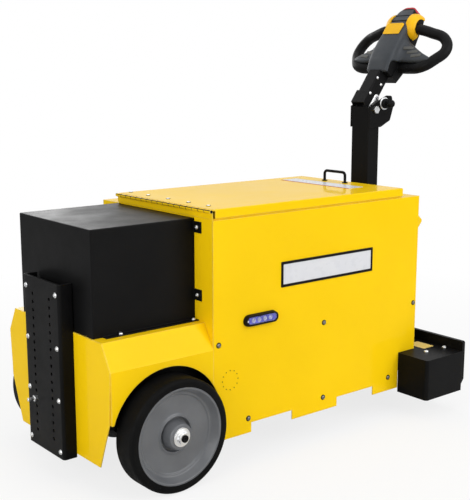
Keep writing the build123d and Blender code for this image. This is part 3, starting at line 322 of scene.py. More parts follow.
# %% Plastics
plastics = [
    # name, dark tone, light tone, rubbed edge, roughness, grain, shine
    ("black_plastic", (0.003, 0.003, 0.0033), (0.0055, 0.0055, 0.0058), (0.03, 0.03, 0.031), 0.5, 0.3, 0.09),
    ("grey_plastic", (0.033, 0.038, 0.045), (0.045, 0.050, 0.057), (0.12, 0.13, 0.14), 0.46, 0.30, 0.20),
    ("red_plastic", (0.40, 0.006, 0.012), (0.50, 0.010, 0.018), (0.66, 0.10, 0.10), 0.34, 0.12, 0.20),
    ("yellow_plastic", (0.83, 0.44, 0.003), (0.90, 0.50, 0.005), (1.0, 0.70, 0.12), 0.40, 0.15, 0.20),
    ("white_plate", (0.625, 0.635, 0.67), (0.655, 0.662, 0.685), (0.72, 0.72, 0.72), 0.30, 0.06, 0.20),
    ("pale_label", (0.78, 0.56, 0.13), (0.86, 0.66, 0.24), (0.90, 0.76, 0.40), 0.36, 0.08, 0.20),
    ("blue_board", (0.085, 0.085, 0.46), (0.115, 0.115, 0.56), (0.30, 0.30, 0.74), 0.35, 0.06, 0.20),
    ("pad_rubber", (0.085, 0.086, 0.082), (0.105, 0.106, 0.100), (0.17, 0.17, 0.16), 0.55, 0.35, 0.20),
]
for name, dark, light, edge_wear_and_highlight, roughness, grain, shine in plastics:
    surface(name, {"Specular IOR Level": shine}, edge=0.0012, patches=(24.0, 4.0), tones=(dark, light),
            edge_wear_and_highlight=edge_wear_and_highlight, gloss=(45.0, 4.0, roughness - 0.06, roughness + 0.06),
            grain=(1300.0, 2.0, 0.0003, grain), edge_breakup=(120.0, 4.0, 0.0, 0.7))

# %% [markdown]
# The marker lamps sit behind a clear, slightly violet lens.
#
# A real lens bends light strongly, which takes long to render and adds little at this size.  A clear, very
# smooth plastic that bends it less, with a faint ripple, gives the same cold glint.

# %% Lens
lens = start_finish("clear_lens", {"IOR": 1.20, "Transmission Weight": 0.90, "Specular IOR Level": 0.5})
tree = lens.node_tree
violet = stretch(tree, cloud(tree, 55.0, 3.0), 0.0, 1.0)
send(tree, mix(tree, violet, (0.56, 0.58, 0.92), (0.70, 0.72, 0.98)), "Base Color")
send(tree, stretch(tree, cloud(tree, 90.0, 3.0), 0.02, 0.06), "Roughness")
send(tree, relief(tree, cloud(tree, 180.0, 1.0), 0.0004, 0.25), "Normal")
finishes["clear_lens"] = lens
print("clear_lens is mixed from", len(tree.nodes), "nodes")

# %% [markdown]
# Now each solid swaps its plain stand-in colour for the finish of the same name.

# %% Finishes on the solids
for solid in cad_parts.values():
    for place in solid.material_slots:
        place.material = finishes[place.material.name.split(".")[0]]
print("dressed", len(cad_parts), "solids")

# %% [markdown]
# The add-on pieces are modelled as by hand: a primitive goes in at its size and place, edit mode shapes
# it, and its place is baked into its mesh at the end.
#
# An operator works on whatever is selected, so every piece starts with nothing selected, and faces and
# edges are then picked by where they are and which way they look.

# %% Helpers for picking and shaping
def begin():
    """Object mode with nothing selected."""
    if bpy.context.object is not None and bpy.context.object.mode != "OBJECT":
        bpy.ops.object.mode_set(mode="OBJECT")
    bpy.ops.object.select_all(action="DESELECT")


def pick(kind, test):
    """Selects the vertices, edges or faces whose middle and direction pass a test."""
    bpy.ops.mesh.select_all(action="DESELECT")
    bpy.ops.mesh.select_mode(type=kind)
    mesh = bmesh.from_edit_mesh(bpy.context.edit_object.data)
    if kind == "FACE":
        chosen = [face for face in mesh.faces if test(face.calc_center_median(), face.normal)]
    elif kind == "EDGE":
        ends = {edge: (edge.verts[0].co, edge.verts[1].co) for edge in mesh.edges}
        chosen = [edge for edge, (a, b) in ends.items() if test((a + b) / 2, (b - a).normalized())]
    else:
        chosen = [vert for vert in mesh.verts if test(vert.co, vert.normal)]
    for element in chosen:
        element.select_set(True)
    mesh.select_flush_mode()
    bmesh.update_edit_mesh(bpy.context.edit_object.data)


def along(axis):
    """A test for edges that run along an axis, or faces that look along it."""
    return lambda middle, run: abs(getattr(run, axis)) > 0.9


def above(level):
    """A test for what lies above a level."""
    return lambda middle, way: middle.z > level


def round_edges(radius, segments, test):
    """Rounds the edges that pass a test."""
    pick("EDGE", test)
    bpy.ops.mesh.bevel(offset=radius, segments=segments, affect="EDGES")


def pull(step):
    """Extrudes the picked faces by a step."""
    bpy.ops.mesh.extrude_region_move(TRANSFORM_OT_translate={"value": step})


def inset_face(outward, margin, height):
    """Insets the faces that look outward, and moves their middle out by a height, or in if it is negative."""
    outward = Vector(outward)
    pick("FACE", lambda middle, normal: normal.dot(outward) > 0.99)
    bpy.ops.mesh.inset(thickness=margin)
    pull(outward * height)


print("helpers for picking and shaping are ready")

# %% [markdown]
# Most pieces start as a block or a disc.  What repeats, such as a bolt, is modelled once as a pattern and
# duplicated, and the finished group is joined into one piece.
#
# Patterns could be instanced instead, which saves memory, but one joined mesh is easier to hand on.

# %% Helpers for placing
patterns = []


def bake(pieces):
    """Selects some pieces and bakes their places into their meshes."""
    begin()
    for piece in pieces:
        piece.select_set(True)
    bpy.context.view_layer.objects.active = pieces[0]
    bpy.ops.object.transform_apply(location=True, rotation=True, scale=True)


def join(pieces):
    """Joins pieces into the first of them."""
    bake(pieces)
    if len(pieces) > 1:
        bpy.ops.object.join()
    return pieces[0]


def open_new():
    """The newest piece, with its place baked into its mesh, opened in edit mode."""
    piece = bpy.context.object
    bake([piece])
    bpy.ops.object.mode_set(mode="EDIT")
    return piece


def block(low, high):
    """A cube between two corners, left in edit mode."""
    begin()
    middle = [(a + b) / 2 for a, b in zip(low, high)]
    bpy.ops.mesh.primitive_cube_add(size=1.0, location=middle)
    bpy.context.object.scale = [b - a for a, b in zip(low, high)]
    return open_new()


def disc(corners, radius, low, high):
    """A round or many-sided plate about the Z axis between two heights, left in edit mode."""
    begin()
    place = (0, 0, (low + high) / 2)
    bpy.ops.mesh.primitive_cylinder_add(vertices=corners, radius=radius, depth=high - low, location=place)
    return open_new()


def fit(piece, name, slot, body="chassis", smooth=35.0, finish=None):
    """Gives a piece a name, a body to ride on and a finish, which is its slot's own where none is named."""
    bake([piece])
    bpy.ops.object.shade_smooth_by_angle(angle=radians(smooth))
    piece.name = piece.data.name = name
    piece.data.materials.clear()
    piece.data.materials.append(finishes[finish or slot])
    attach(piece, body)
    print(name, "has", len(piece.data.polygons), "faces and rides on", body)
    return piece


def repeat(pattern, name, slot, places, body="chassis", finish=None):
    """Copies of a pattern, each with its +Z turned to face a direction, joined into one piece."""
    if pattern not in patterns:
        patterns.append(pattern)
    copies = []
    for place, facing in places:
        begin()
        pattern.select_set(True)
        bpy.context.view_layer.objects.active = pattern
        bpy.ops.object.duplicate(linked=False)
        copy = bpy.context.object
        turn = Vector((0, 0, 1)).rotation_difference(Vector(facing))
        copy.matrix_world = Matrix.Translation(place) @ turn.to_matrix().to_4x4()
        copies.append(copy)
    return fit(join(copies), name, slot, body, finish=finish)


def front(reach):
    """The X of a place that lies a reach behind the body's front wall."""
    return front_x + reach


up = (0, 0, 1)
sides = (("right", -1), ("left", 1))
half_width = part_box("side_panel_left")[1].y
print("body is", 2 * half_width, "m wide")

# %% [markdown]
# Two kinds of fastener hold the tractor together: round pan-head screws in the sheet metal, and hex bolts
# with a washer in the heavy parts.
#
# A screw head could be half a sphere, but light shows the difference: a real head has a crisp wall, a
# rounded shoulder and a socket that catches a dark spot.  The patterns stand on the origin along +Z.

# %% Screw and bolt patterns
def pan_screw(radius, height):
    """Round head with a rounded shoulder and a round socket."""
    screw = disc(24, radius, 0, height)
    round_edges(height * 0.55, 4, above(height * 0.99))
    inset_face(up, radius * 0.12, -height * 0.5)
    return screw


def hex_bolt(radius, height):
    """Six-sided head with chamfered corners on a round washer."""
    bolt = disc(6, radius, 0, height)
    round_edges(height * 0.18, 2, above(height * 0.99))
    round_edges(radius * 0.06, 2, along("z"))
    washer = height * 0.28
    rim = radius * 1.35
    bpy.ops.mesh.primitive_cylinder_add(vertices=32, radius=rim, depth=washer, location=(0, 0, washer / 2))
    round_edges(washer * 0.4, 2, lambda place, run: place.z > washer * 0.9 and place.xy.length > rim * 0.97)
    return bolt


def dark_washer(radius):
    """Thin washer with a rounded rim."""
    washer = disc(28, radius, 0, 0.0012)
    round_edges(0.0005, 2, above(0.0011))
    return washer


sheet_screw = pan_screw(0.0058, 0.0046)
sheet_washer = dark_washer(0.0080)
small_screw = pan_screw(0.0044, 0.0026)
small_washer = dark_washer(0.0062)
deck_bolt = pan_screw(0.0076, 0.0042)
hitch_bolt = hex_bolt(0.0052, 0.0040)
arm_bolt = hex_bolt(0.0036, 0.0030)
print("patterns for screws, washers and bolts are ready")

# %% [markdown]
# Six screws hold each side panel: three in a row below the lamp, and three along the notched feet.

# %% Side panel screws
panel_screws = [
    # reach, height
    (0.017, 0.352), (0.405, 0.350), (0.796, 0.349),
    (0.120, 0.124), (0.406, 0.122), (0.688, 0.125),
]
# The black washer under each screw is partly painted shade: it also stands in for the dark shaded ring round
# the head.
for side_name, side in sides:
    places = [((front(reach), side * half_width, height), (0, side, 0)) for reach, height in panel_screws]
    repeat(sheet_screw, "panel_screws_" + side_name, "zinc", places, finish="dark_zinc")
    repeat(sheet_washer, "panel_washers_" + side_name, "black_paint", places)

# %% [markdown]
# The equipment box is held by screws through its four tabs and its two foot flanges.

# %% Equipment box screws
box_low, box_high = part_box("equipment_box")
tab_y = box_high.y - 0.016
flange_y = box_high.y - 0.023
flange_top = box_low.z + 0.003
box_screws = []
for side in (-1, 1):
    for height in (0.481, 0.664):
        box_screws.append(((front(-0.003), side * tab_y, height), (-1, 0, 0)))
    for reach in (-0.241, -0.012):
        box_screws.append(((front(reach), side * flange_y, flange_top), up))
repeat(sheet_screw, "box_screws", "zinc", box_screws)

# %% [markdown]
# The hitch channel is bolted on along both edges, and the deck by the tiller carries round-headed bolts.

# %% Hitch and deck bolts
hitch_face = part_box("hitch_channel")[0].x
hitch_rows = (0.089, 0.229, 0.369, 0.510)
hitch_places = [((hitch_face, y, z), (-1, 0, 0)) for y in (-0.080, 0.080) for z in hitch_rows]
repeat(hitch_bolt, "hitch_bolts", "zinc", hitch_places)
deck_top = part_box("rear_deck")[1].z
deck_rows = ((0.810, 0.319), (0.893, 0.324))
deck_places = [((front(reach), side * out, deck_top), up) for side in (-1, 1) for reach, out in deck_rows]
repeat(deck_bolt, "deck_bolts", "zinc", deck_places)

# %% [markdown]
# Five flat screws run along the lid's front edge, where its hinge leaf is fixed from above.

# %% Lid screws
lid_low, lid_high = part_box("lid")
lid_places = [((front(0.036), y, lid_high.z), up) for y in (0.172, 0.081, -0.019, -0.115, -0.204)]
repeat(small_screw, "lid_screws", "zinc", lid_places, "lid")
# The black washer under each lid screw is partly painted shade: it also stands in for the dark shaded ring
# round the head.
repeat(small_washer, "lid_washers", "black_paint", lid_places, "lid")

# %% [markdown]
# The lid swings on a long rolled hinge.  Its knuckles are painted with the body, so what shows from afar is
# the shade in the joint between each two of them, the shadow gap above, and the pin's black end.
#
# The knuckles are already there as solids.  A thin dark ring at every joint is painted shade that brings
# them out, and a black strip above them is a painted shadow under the lid's front edge.

# %% Hinge joints and their painted shade
hinge_low, hinge_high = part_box("hinge_fixed")
hinge_length = hinge_high.y - hinge_low.y
knuckles = 17
barrel_r = 0.005
barrel = Vector((hinge_low.x + barrel_r, hinge_low.y, hinge_high.z - barrel_r))
# Each thin dark ring is painted shade in the gap between two knuckles.
joint_shade_ring = disc(28, barrel_r + 0.0002, -0.0012, 0.0012)
round_edges(0.0004, 2, lambda middle, run: abs(run.z) < 0.1)
steps = [Vector((0, hinge_length / knuckles * number, 0)) for number in range(1, knuckles)]
repeat(joint_shade_ring, "hinge_joint_shade", "black_paint", [(barrel + step, (0, 1, 0)) for step in steps])
# The black strip above the knuckles is a painted shadow under the lid's front edge.
shadow_strip_low = barrel + Vector((-0.0047, 0.001, 0.0016))
hinge_shadow_strip = block(shadow_strip_low, shadow_strip_low + Vector((0.0018, hinge_length - 0.002, 0.0026)))
round_edges(0.0006, 2, along("y"))
fit(hinge_shadow_strip, "hinge_shadow_strip", "black_paint", "lid")
repeat(dark_washer(0.0040), "hinge_pin_end", "black_paint", [(barrel, (0, -1, 0))])

# %% [markdown]
# Between lid and deck lies a soft seal, set back a little from the lid's skirt.  It keeps the gap from
# looking like a black slot.
#
# The seal is a frame: a flat block whose top and bottom are inset, and then bridged into one hole.

# %% Lid seal
seal_low = Vector((lid_low.x + 0.004, lid_low.y + 0.0035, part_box("top_deck")[1].z))
seal_high = Vector((lid_high.x - 0.0035, lid_high.y - 0.0035, lid_low.z - 0.0004))
seal = block(seal_low, seal_high)
pick("FACE", along("z"))
bpy.ops.mesh.inset(thickness=0.008)
bpy.ops.mesh.bridge_edge_loops()
round_edges(0.0010, 2, above(seal_high.z - 0.0001))
fit(seal, "lid_seal", "yellow_paint")

# %% [markdown]
# A folded flange closes each front corner of the fender, behind the front panel, and a small pointed lug
# stands on the right edge of the rear wall.

# %% Corner flanges and lug
fender_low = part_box("fender")[0]
for side_name, side in sides:
    faces = sorted((side * (half_width - 0.0032), side * (half_width - 0.016)))
    flange_low = (fender_low.x + 0.0002, faces[0], fender_low.z + 0.0005)
    flange = block(flange_low, (fender_low.x + 0.0030, faces[1], fender_low.z + 0.130))
    round_edges(0.0030, 3, along("x"))
    fit(flange, "corner_flange_" + side_name, "yellow_paint")
right_face = -half_width
wall_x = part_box("rear_wall")[1].x
lug = block((wall_x, right_face + 0.0035, 0.580), (wall_x + 0.0210, right_face + 0.0185, 0.630))
pick("FACE", lambda middle, normal: normal.x > 0.9)
bpy.ops.transform.resize(value=(1.0, 1.0, 0.14))
bpy.ops.transform.translate(value=(0, 0, 0.003))
round_edges(0.0016, 3, lambda middle, run: middle.x > wall_x + 0.0002)
fit(lug, "rear_lug", "yellow_paint")

# %% [markdown]
# A sign sits on the right side panel: a plain white plate in a dark frame.
#
# A flat picture on the panel would do from afar, but a plate with its own thickness gives the thin shadow
# that makes it look screwed on.  The frame's middle is inset and sunk, and the plate lies in it.

# %% Sign plate
to_right = (0, -1, 0)
border = 0.0072
sign_low = Vector((front(0.237), right_face - 0.0022, 0.478))
sign_high = Vector((front(0.602), right_face + 0.0002, 0.550))
sign_frame = block(sign_low, sign_high)
inset_face(to_right, border, -0.0010)
round_edges(border * 0.25, 2, along("y"))
fit(sign_frame, "sign_frame", "black_plastic")
inner = Vector((0.0078, 0.0, 0.0078))
sign_plate = block(sign_low + inner + Vector((0, 0.0006, 0)), sign_high - inner)
round_edges(0.002, 3, along("y"))
inset_face(to_right, 0.0016, -0.0002)
fit(sign_plate, "sign_plate", "grey_plastic", finish="white_plate")

# %% [markdown]
# A plain label lies on the lid in front of the handle, with a red edge strip, and a small yellow one on
# the deck.  All are thin plates with rounded corners.

# %% Labels
labels = [
    # name, body, slot, finish, reaches and sides of its corners, level, thickness, corner's radius
    ("lid_label", "lid", "grey_plastic", "white_plate",
     (0.598, 0.660), (-0.172, 0.133), lid_high.z, 0.0006, 0.003),
    ("lid_label_strip", "lid", "red_plastic", "red_plastic",
     (0.592, 0.5975), (-0.172, 0.133), lid_high.z, 0.0006, 0.0012),
    ("deck_label", "chassis", "yellow_plastic", "pale_label",
     (0.831, 0.880), (-0.292, -0.224), deck_top, 0.0007, 0.003),
]
for name, body, slot, finish, (near, far), (right, left), level, thickness, corner in labels:
    plate = block((front(near), right, level - 0.0002), (front(far), left, level + thickness))
    round_edges(corner, 4, along("z"))
    inset_face(up, corner * 0.5, -0.0001)
    fit(plate, name, slot, body, finish=finish)

# %% [markdown]
# Behind the wheel arch a ring of small holes lets the warning sounder be heard.
#
# Cutting real holes would mean changing the panel.  A hole this small reads as a dark cup with a lip, so
# each one is a thin collar whose middle is pushed in, finished black as painted shade for the dark inside of
# the hole.

# %% Sounder holes
# Each cup's black finish is painted shade for the dark inside of a hole.
sound_hole = disc(12, 0.0017, -0.0002, 0.0006)
inset_face(up, 0.0004, -0.0006)
ring_middle = Vector((front(0.056), right_face, 0.248))
ring_r = 0.027
hole_count = 12
ring = []
for number in range(hole_count):
    turn = 2 * pi * number / hole_count
    ring.append((ring_middle + Vector((ring_r * cos(turn), 0, ring_r * sin(turn))), to_right))
repeat(sound_hole, "sounder_holes", "black_plastic", ring)

# %% [markdown]
# Each marker lamp has four light points in a row on a blue board, a clear cover over them, and a screw at
# its front end.
#
# The solid has plain cones for the light points.  Here each one is a small reflector bowl with a bright
# bead in it, inset step by step from a disc, because the bowl is what makes a lamp glitter.

# %% Marker lamps
lamp_low, lamp_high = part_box("lamp_bezels")
lamp_x = (lamp_low.x + lamp_high.x) / 2
lamp_z = (lamp_low.z + lamp_high.z) / 2
seat_y = half_width + 0.006
reflector = disc(32, 0.0062, 0, 0.0030)
pick("FACE", above(0.0029))
bpy.ops.mesh.inset(thickness=0.0008)
bpy.ops.mesh.inset(thickness=0.0024, depth=-0.0020)
bpy.ops.mesh.inset(thickness=0.0004)
pull((0, 0, 0.0012))
bpy.ops.transform.resize(value=(0.75, 0.75, 1.0))
light_pitch = 0.020
bowls = []
for side in (-1, 1):
    for number in range(4):
        bowl_x = lamp_x + 0.0006 + light_pitch * (number - 1.5)
        bowls.append(((bowl_x, side * seat_y, lamp_z), (0, side, 0)))
bowl_piece = repeat(reflector, "lamp_reflectors", "zinc", bowls)
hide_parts("lamp_leds")


def lamp_plate(side, ends, levels, half, corner, segments):
    """A plate with rounded corners in the lamp's shell, left in edit mode."""
    faces = sorted(side * (seat_y + level) for level in levels)
    plate = block((lamp_x + ends[0], faces[0], lamp_z - half), (lamp_x + ends[1], faces[1], lamp_z + half))
    round_edges(corner, segments, along("y"))
    return plate


end_top = 0.0026
for side_name, side in sides:
    board = lamp_plate(side, (-0.0450, 0.0515), (-0.0002, 0.0008), 0.0092, 0.0068, 6)
    fit(board, "lamp_board_" + side_name, "grey_plastic", finish="blue_board")
    clear = lamp_plate(side, (-0.0460, 0.0525), (0.0010, 0.0046), 0.0100, 0.0075, 6)
    inset_face((0, side, 0), 0.0016, 0.0008)
    fit(clear, "lamp_cover_" + side_name, "clear_lens")
    end_pad = lamp_plate(side, (-0.0530, -0.0465), (0, end_top), 0.0070, 0.0030, 5)
    round_edges(0.0008, 3, lambda middle, run: middle.y * side > seat_y + end_top - 0.0001)
    fit(end_pad, "lamp_end_" + side_name, "black_plastic")
screw_out = seat_y + end_top - 0.0002
lamp_screws = [((lamp_x - 0.0497, side * screw_out, lamp_z), (0, side, 0)) for side in (-1, 1)]
repeat(pan_screw(0.0030, 0.0020), "lamp_screws", "zinc", lamp_screws)

# %% [markdown]
# With the lid open the battery shows: four blocks side by side, each with a raised vent bar, three caps and
# two posts.
#
# One plain block would do while the lid is shut, but an open lid is one of the tractor's poses.  Each block's
# top is inset and pulled up into the vent bar, and all of it stays as high as the plain block was.

# %% Battery blocks
battery_low, battery_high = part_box("battery")
battery_middle = (battery_low + battery_high) / 2
block_pitch = Vector((battery_high.x - battery_low.x, battery_high.y - battery_low.y)) / 2
block_half = block_pitch / 2 - Vector((0.003, 0.003))
bar_height = 0.010
cap_height = 0.009
case_height = battery_high.z - battery_low.z - bar_height - cap_height
case_top = battery_low.z + case_height
battery_block = block((-block_half.x, -block_half.y, 0), (block_half.x, block_half.y, case_height))
inset_face(up, 0.072, bar_height)
bar_line = case_height + bar_height * 0.4
round_edges(0.0028, 3, lambda middle, run: middle.z > bar_line or middle.xy.length > block_half.y * 0.99)
vent_cap = disc(24, 0.0130, 0, cap_height)
round_edges(0.0020, 3, above(cap_height * 0.99))
inset_face(up, 0.0030, -0.0030)
post = disc(24, 0.0085, 0, 0.0160)
round_edges(0.0020, 3, above(0.0159))
post_reach = 0.095
post_row = 0.029
cap_pitch = 0.032
blocks = []
caps = []
posts = []
for along_share in (-0.5, 0.5):
    for across_share in (-0.5, 0.5):
        centre = battery_middle.xy + Vector((along_share * block_pitch.x, across_share * block_pitch.y))
        blocks.append(((centre.x, centre.y, battery_low.z), up))
        for number in (-1, 0, 1):
            caps.append(((centre.x + number * cap_pitch, centre.y, case_top + bar_height), up))
        for reach in (-post_reach, post_reach):
            posts.append(((centre.x + reach, across_share * 2 * post_row, case_top), up))
block_group = repeat(battery_block, "battery_blocks", "black_plastic", blocks)
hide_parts("battery")
repeat(vent_cap, "vent_caps", "grey_plastic", caps)
repeat(post, "battery_posts", "zinc", posts)

# %% [markdown]
# Three lead bars join the four blocks into one string: two run along the battery, one across it.

# %% Battery links
link_half = Vector((block_pitch.x / 2 - post_reach + 0.012, 0.009))
link_end = battery_middle.x + block_pitch.x / 2 + post_reach
link_places = [
    # middle, half size
    (Vector((battery_middle.x, -post_row)), link_half),
    (Vector((battery_middle.x, post_row)), link_half),
    (Vector((link_end, 0.0)), Vector((0.009, post_row + 0.012))),
]
link_z = case_top + 0.008
link_top = link_z + 0.004
links = []
for centre, half in link_places:
    links.append(block((*(centre - half), link_z), (*(centre + half), link_top)))
    round_edges(0.0075, 5, along("z"))
    round_edges(0.0010, 2, above(link_top - 0.0001))
fit(join(links), "battery_links", "zinc")

# %% [markdown]
# The drive wheels are the closest thing to the camera, so they are modelled anew: a solid tyre with round
# shoulders on a dished cast hub.
#
# A wheel could be lathed from a curve, but a short profile that is extruded point by point, rounded at its
# corners and spun round the axle shows each step.  Spin leaves its first and last ring on top of each
# other, so they are merged, and the normals are turned outwards.

# %% Wheel profiles
hair = 1e-5  # points closer than this count as one place


def weld():
    """Merges points that lie on each other, turns the normals outwards and leaves all of it selected."""
    bpy.ops.mesh.select_all(action="SELECT")
    bpy.ops.mesh.remove_doubles(threshold=1e-6)
    bpy.ops.mesh.select_all(action="SELECT")
    bpy.ops.mesh.normals_make_consistent(inside=False)


def profile(points, rounding, segments):
    """A line through points of a distance out along Y and a radius above the origin, with rounded corners."""
    begin()
    bpy.ops.mesh.primitive_plane_add(size=0.001, location=(0, points[0][0], points[0][1]))
    piece = open_new()
    bpy.ops.mesh.select_mode(type="VERT")
    bpy.ops.mesh.select_all(action="SELECT")
    bpy.ops.mesh.merge(type="CENTER")
    for start, end in zip(points, points[1:]):
        step = (0, end[0] - start[0], end[1] - start[1])
        bpy.ops.mesh.extrude_vertices_move(TRANSFORM_OT_translate={"value": step})
    for corner, radius in rounding.items():
        at = Vector((0, *points[corner]))
        pick("VERT", lambda place, normal: (place - at).length < hair)
        bpy.ops.mesh.bevel(offset=radius, segments=segments, affect="VERTICES")
    weld()
    return piece


wheel_half = 0.038
tread_r = 0.152
rim_r = 0.130
tyre_line = [
    (-wheel_half, rim_r), (-wheel_half, tread_r), (wheel_half, tread_r), (wheel_half, rim_r),
    (-wheel_half, rim_r),
]
tyre_corners = {1: 0.011, 2: 0.011}
hub_line = [
    (0.0365, 0.1295), (0.0365, 0.1245), (0.0335, 0.1225), (0.0150, 0.1120), (0.0150, 0.1070),
    (0.0110, 0.1040), (0.0110, 0.0540), (0.0150, 0.0500), (0.0150, 0.0470), (0.0040, 0.0440),
    (0.0040, 0.0395), (0.0340, 0.0350), (0.0380, 0.0330), (0.0380, 0.0130), (-0.0310, 0.0130),
    (-0.0310, 0.0360), (-0.0020, 0.0540), (-0.0020, 0.1125), (-0.0365, 0.1235), (-0.0365, 0.1295),
    (0.0365, 0.1295),
]
hub_corners = {
    1: 0.0012, 2: 0.0012, 3: 0.0030, 4: 0.0012, 5: 0.0018, 6: 0.0030, 7: 0.0016, 8: 0.0012,
    9: 0.0015, 10: 0.0015, 12: 0.0010,
}
print("profiles: tyre", len(tyre_line), "points, hub", len(hub_line), "points")

# %% [markdown]
# The profiles are drawn for the left wheel, and turned half round the upright for the right one.

# %% Tyres and hubs
axle = Vector((front(-0.146), 0.0, 0.1525))
wheel_out = 0.286
wheel_pieces = [
    # name, node that it stands for, profile, rounded corners and their segments, finish
    ("solid_tyre_", "tyre_", tyre_line, tyre_corners, 6, "tyre"),
    ("cast_hub_", "hub_", hub_line, hub_corners, 3, "grey_casting"),
]
for side_name, side in sides:
    for name, node, line, corners, segments, slot in wheel_pieces:
        piece = profile(line, corners, segments)
        bpy.ops.mesh.spin(steps=96, angle=2 * pi, center=(0, 0, 0), axis=(0, 1, 0))
        weld()
        piece.location = axle + Vector((0, side * wheel_out, 0))
        piece.rotation_euler = (0, 0, 0.0 if side > 0 else pi)
        fit(piece, name + side_name, slot, "wheel_" + side_name)
        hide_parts(node + side_name)

# %% [markdown]
# A zinc washer and a hex nut hold each wheel, with the dark end of the axle standing out of the nut.

# %% Wheel nuts
wheel_nut = hex_bolt(0.0160, 0.0145)
stub = disc(32, 0.0100, -0.0015, 0.0185)
round_edges(0.0015, 3, above(0.0184))
pick("FACE", lambda middle, normal: normal.z > 0.99)
bpy.ops.mesh.inset(thickness=0.0032)
bpy.ops.mesh.inset(thickness=0.0024, depth=-0.0026)
for side_name, side in sides:
    seat = [(axle + Vector((0, side * (wheel_out + wheel_half), 0)), (0, side, 0))]
    repeat(wheel_nut, "wheel_nut_" + side_name, "zinc", seat, "wheel_" + side_name)
    repeat(stub, "axle_stub_" + side_name, "black_paint", seat, "wheel_" + side_name)

# %% [markdown]
# The tiller leans back, so its head is modelled lying straight and set on the lean at the end: along the
# tiller is X, across is Y and away from its back is Z, all from the pivot bolt.
#
# The head's cover is drawn out of a block, station by station.  Each step extrudes the end face, and
# then widens or narrows its lower and its upper edge and lifts them to their level.

# %% Head's own space
tiller_lean = radians(36)
pivot = Vector((front(0.8445), 0.0, 0.944))
tiller_run = Vector((sin(tiller_lean), 0, cos(tiller_lean)))
tiller_rise = Vector((-cos(tiller_lean), 0, sin(tiller_lean)))
head_space = Matrix.Translation(pivot) @ Matrix((tiller_run, (0, 1, 0), tiller_rise)).transposed().to_4x4()


def fit_head(piece, name, slot, smooth=35.0, finish=None):
    """Sets a piece that was modelled straight on the lean of the tiller."""
    begin()
    piece.matrix_world = head_space
    return fit(piece, name, slot, "tiller", smooth, finish)


def shape_end(at, now, wanted):
    """Gives the end at one station its half widths and levels: low half, high half, low level, high level."""
    middle = (now[2] + now[3]) / 2
    for edge in (1, 0):
        pick("VERT", lambda place, normal: abs(place.x - at) < hair and (place.z > middle) == (edge == 1))
        share = wanted[edge] / now[edge]
        bpy.ops.transform.resize(value=(1, share, 1), center_override=(at, 0, now[edge + 2]))
        bpy.ops.transform.translate(value=(0, 0, wanted[edge + 2] - now[edge + 2]))


def draw_out(stations):
    """A bar through stations of place, low half, high half, low level and high level, left in edit mode."""
    start, *size = stations[0]
    second = stations[1][0]
    piece = block((start, -size[0], size[2]), (second, size[0], size[3]))
    plain = (size[0], size[0], size[2], size[3])
    shape_end(start, plain, size)
    shape_end(second, plain, stations[1][1:])
    for behind, ahead in zip(stations[1:], stations[2:]):
        pick("FACE", lambda middle, normal: abs(middle.x - behind[0]) < hair and normal.x > 0.9)
        pull((ahead[0] - behind[0], 0, 0))
        shape_end(ahead[0], behind[1:], ahead[1:])
    return piece


print("tiller pivot at", pivot[:])

# %% [markdown]
# The slate cover is a thin cap over the foot, then reaches down and out into two wings beside the spine.
#
# The wings are extruded from the cover's lower flanks.  A subdivision surface then turns the hollow corner
# between spine and wing into one flowing curve, which a bevel couldn't do.  Creased lower edges keep the
# seam with the black shell sharp.  While the cover still lies straight, rays from above measure where the
# ribs of its wings will stand.

# %% Head cover
cover_stations = [
    # place, half widths below and above, levels below and above
    (0.126, 0.0460, 0.0430, 0.0310, 0.0400),
    (0.130, 0.0465, 0.0435, 0.0320, 0.0425),
    (0.157, 0.0480, 0.0440, 0.0400, 0.0515),
    (0.167, 0.0500, 0.0450, 0.0330, 0.0530),
    (0.178, 0.0560, 0.0455, 0.0160, 0.0540),
    (0.185, 0.0620, 0.0455, 0.0030, 0.0550),
    (0.228, 0.0620, 0.0450, 0.0030, 0.0565),
    (0.262, 0.0560, 0.0430, 0.0030, 0.0555),
    (0.292, 0.0470, 0.0405, 0.0220, 0.0525),
    (0.316, 0.0450, 0.0385, 0.0310, 0.0495),
    (0.3195, 0.0448, 0.0383, 0.0310, 0.0490),
]
wing_steps = [
    # step out, near and far edge
    (0.040, 0.1830, 0.2370), (0.034, 0.1825, 0.2180), (0.031, 0.1920, 0.2050),
]
wing_floor = 0.003
wing_top = 0.019
wing_ends = (0.184, 0.263)
wing_thinning = 0.86
waist = 0.89
cover = draw_out(cover_stations)
round_edges(0.0100, 2, lambda middle, run: abs(run.x) > 0.7 and middle.z > 0.0405)
bpy.ops.mesh.select_all(action="SELECT")
bpy.ops.mesh.bisect(plane_co=(0, 0, wing_top), plane_no=up)
pick("VERT", lambda place, normal: abs(place.z - wing_top) < hair and wing_ends[0] < place.x < wing_ends[1])
bpy.ops.transform.resize(value=(1, waist, 1), center_override=(0, 0, 0))
for side in (-1, 1):
    near = cover_stations[5][0]
    far = cover_stations[7][0]
    pick("FACE", lambda place, normal: normal.y * side > 0.3 and place.z < wing_top and near < place.x < far)
    for out, new_near, new_far in wing_steps:
        pull((0, side * out, 0))
        share = (new_far - new_near) / (far - near)
        bpy.ops.transform.resize(value=(share, 1, wing_thinning), center_override=(near, 0, wing_floor))
        bpy.ops.transform.translate(value=(new_near - near, 0, 0))
        near = new_near
        far = new_far
pick("EDGE", lambda middle, run: middle.z < wing_floor + 0.0002)
bpy.ops.transform.edge_crease(value=0.8)
bpy.ops.object.mode_set(mode="OBJECT")
cover.modifiers.new("flow", "SUBSURF").levels = 3
bpy.ops.object.modifier_apply(modifier="flow")


def cover_height(run, out):
    """How high the cover stands at a place along and across the head."""
    hit = cover.ray_cast((run, out, 0.2), (0, 0, -1))
    return hit[1].z


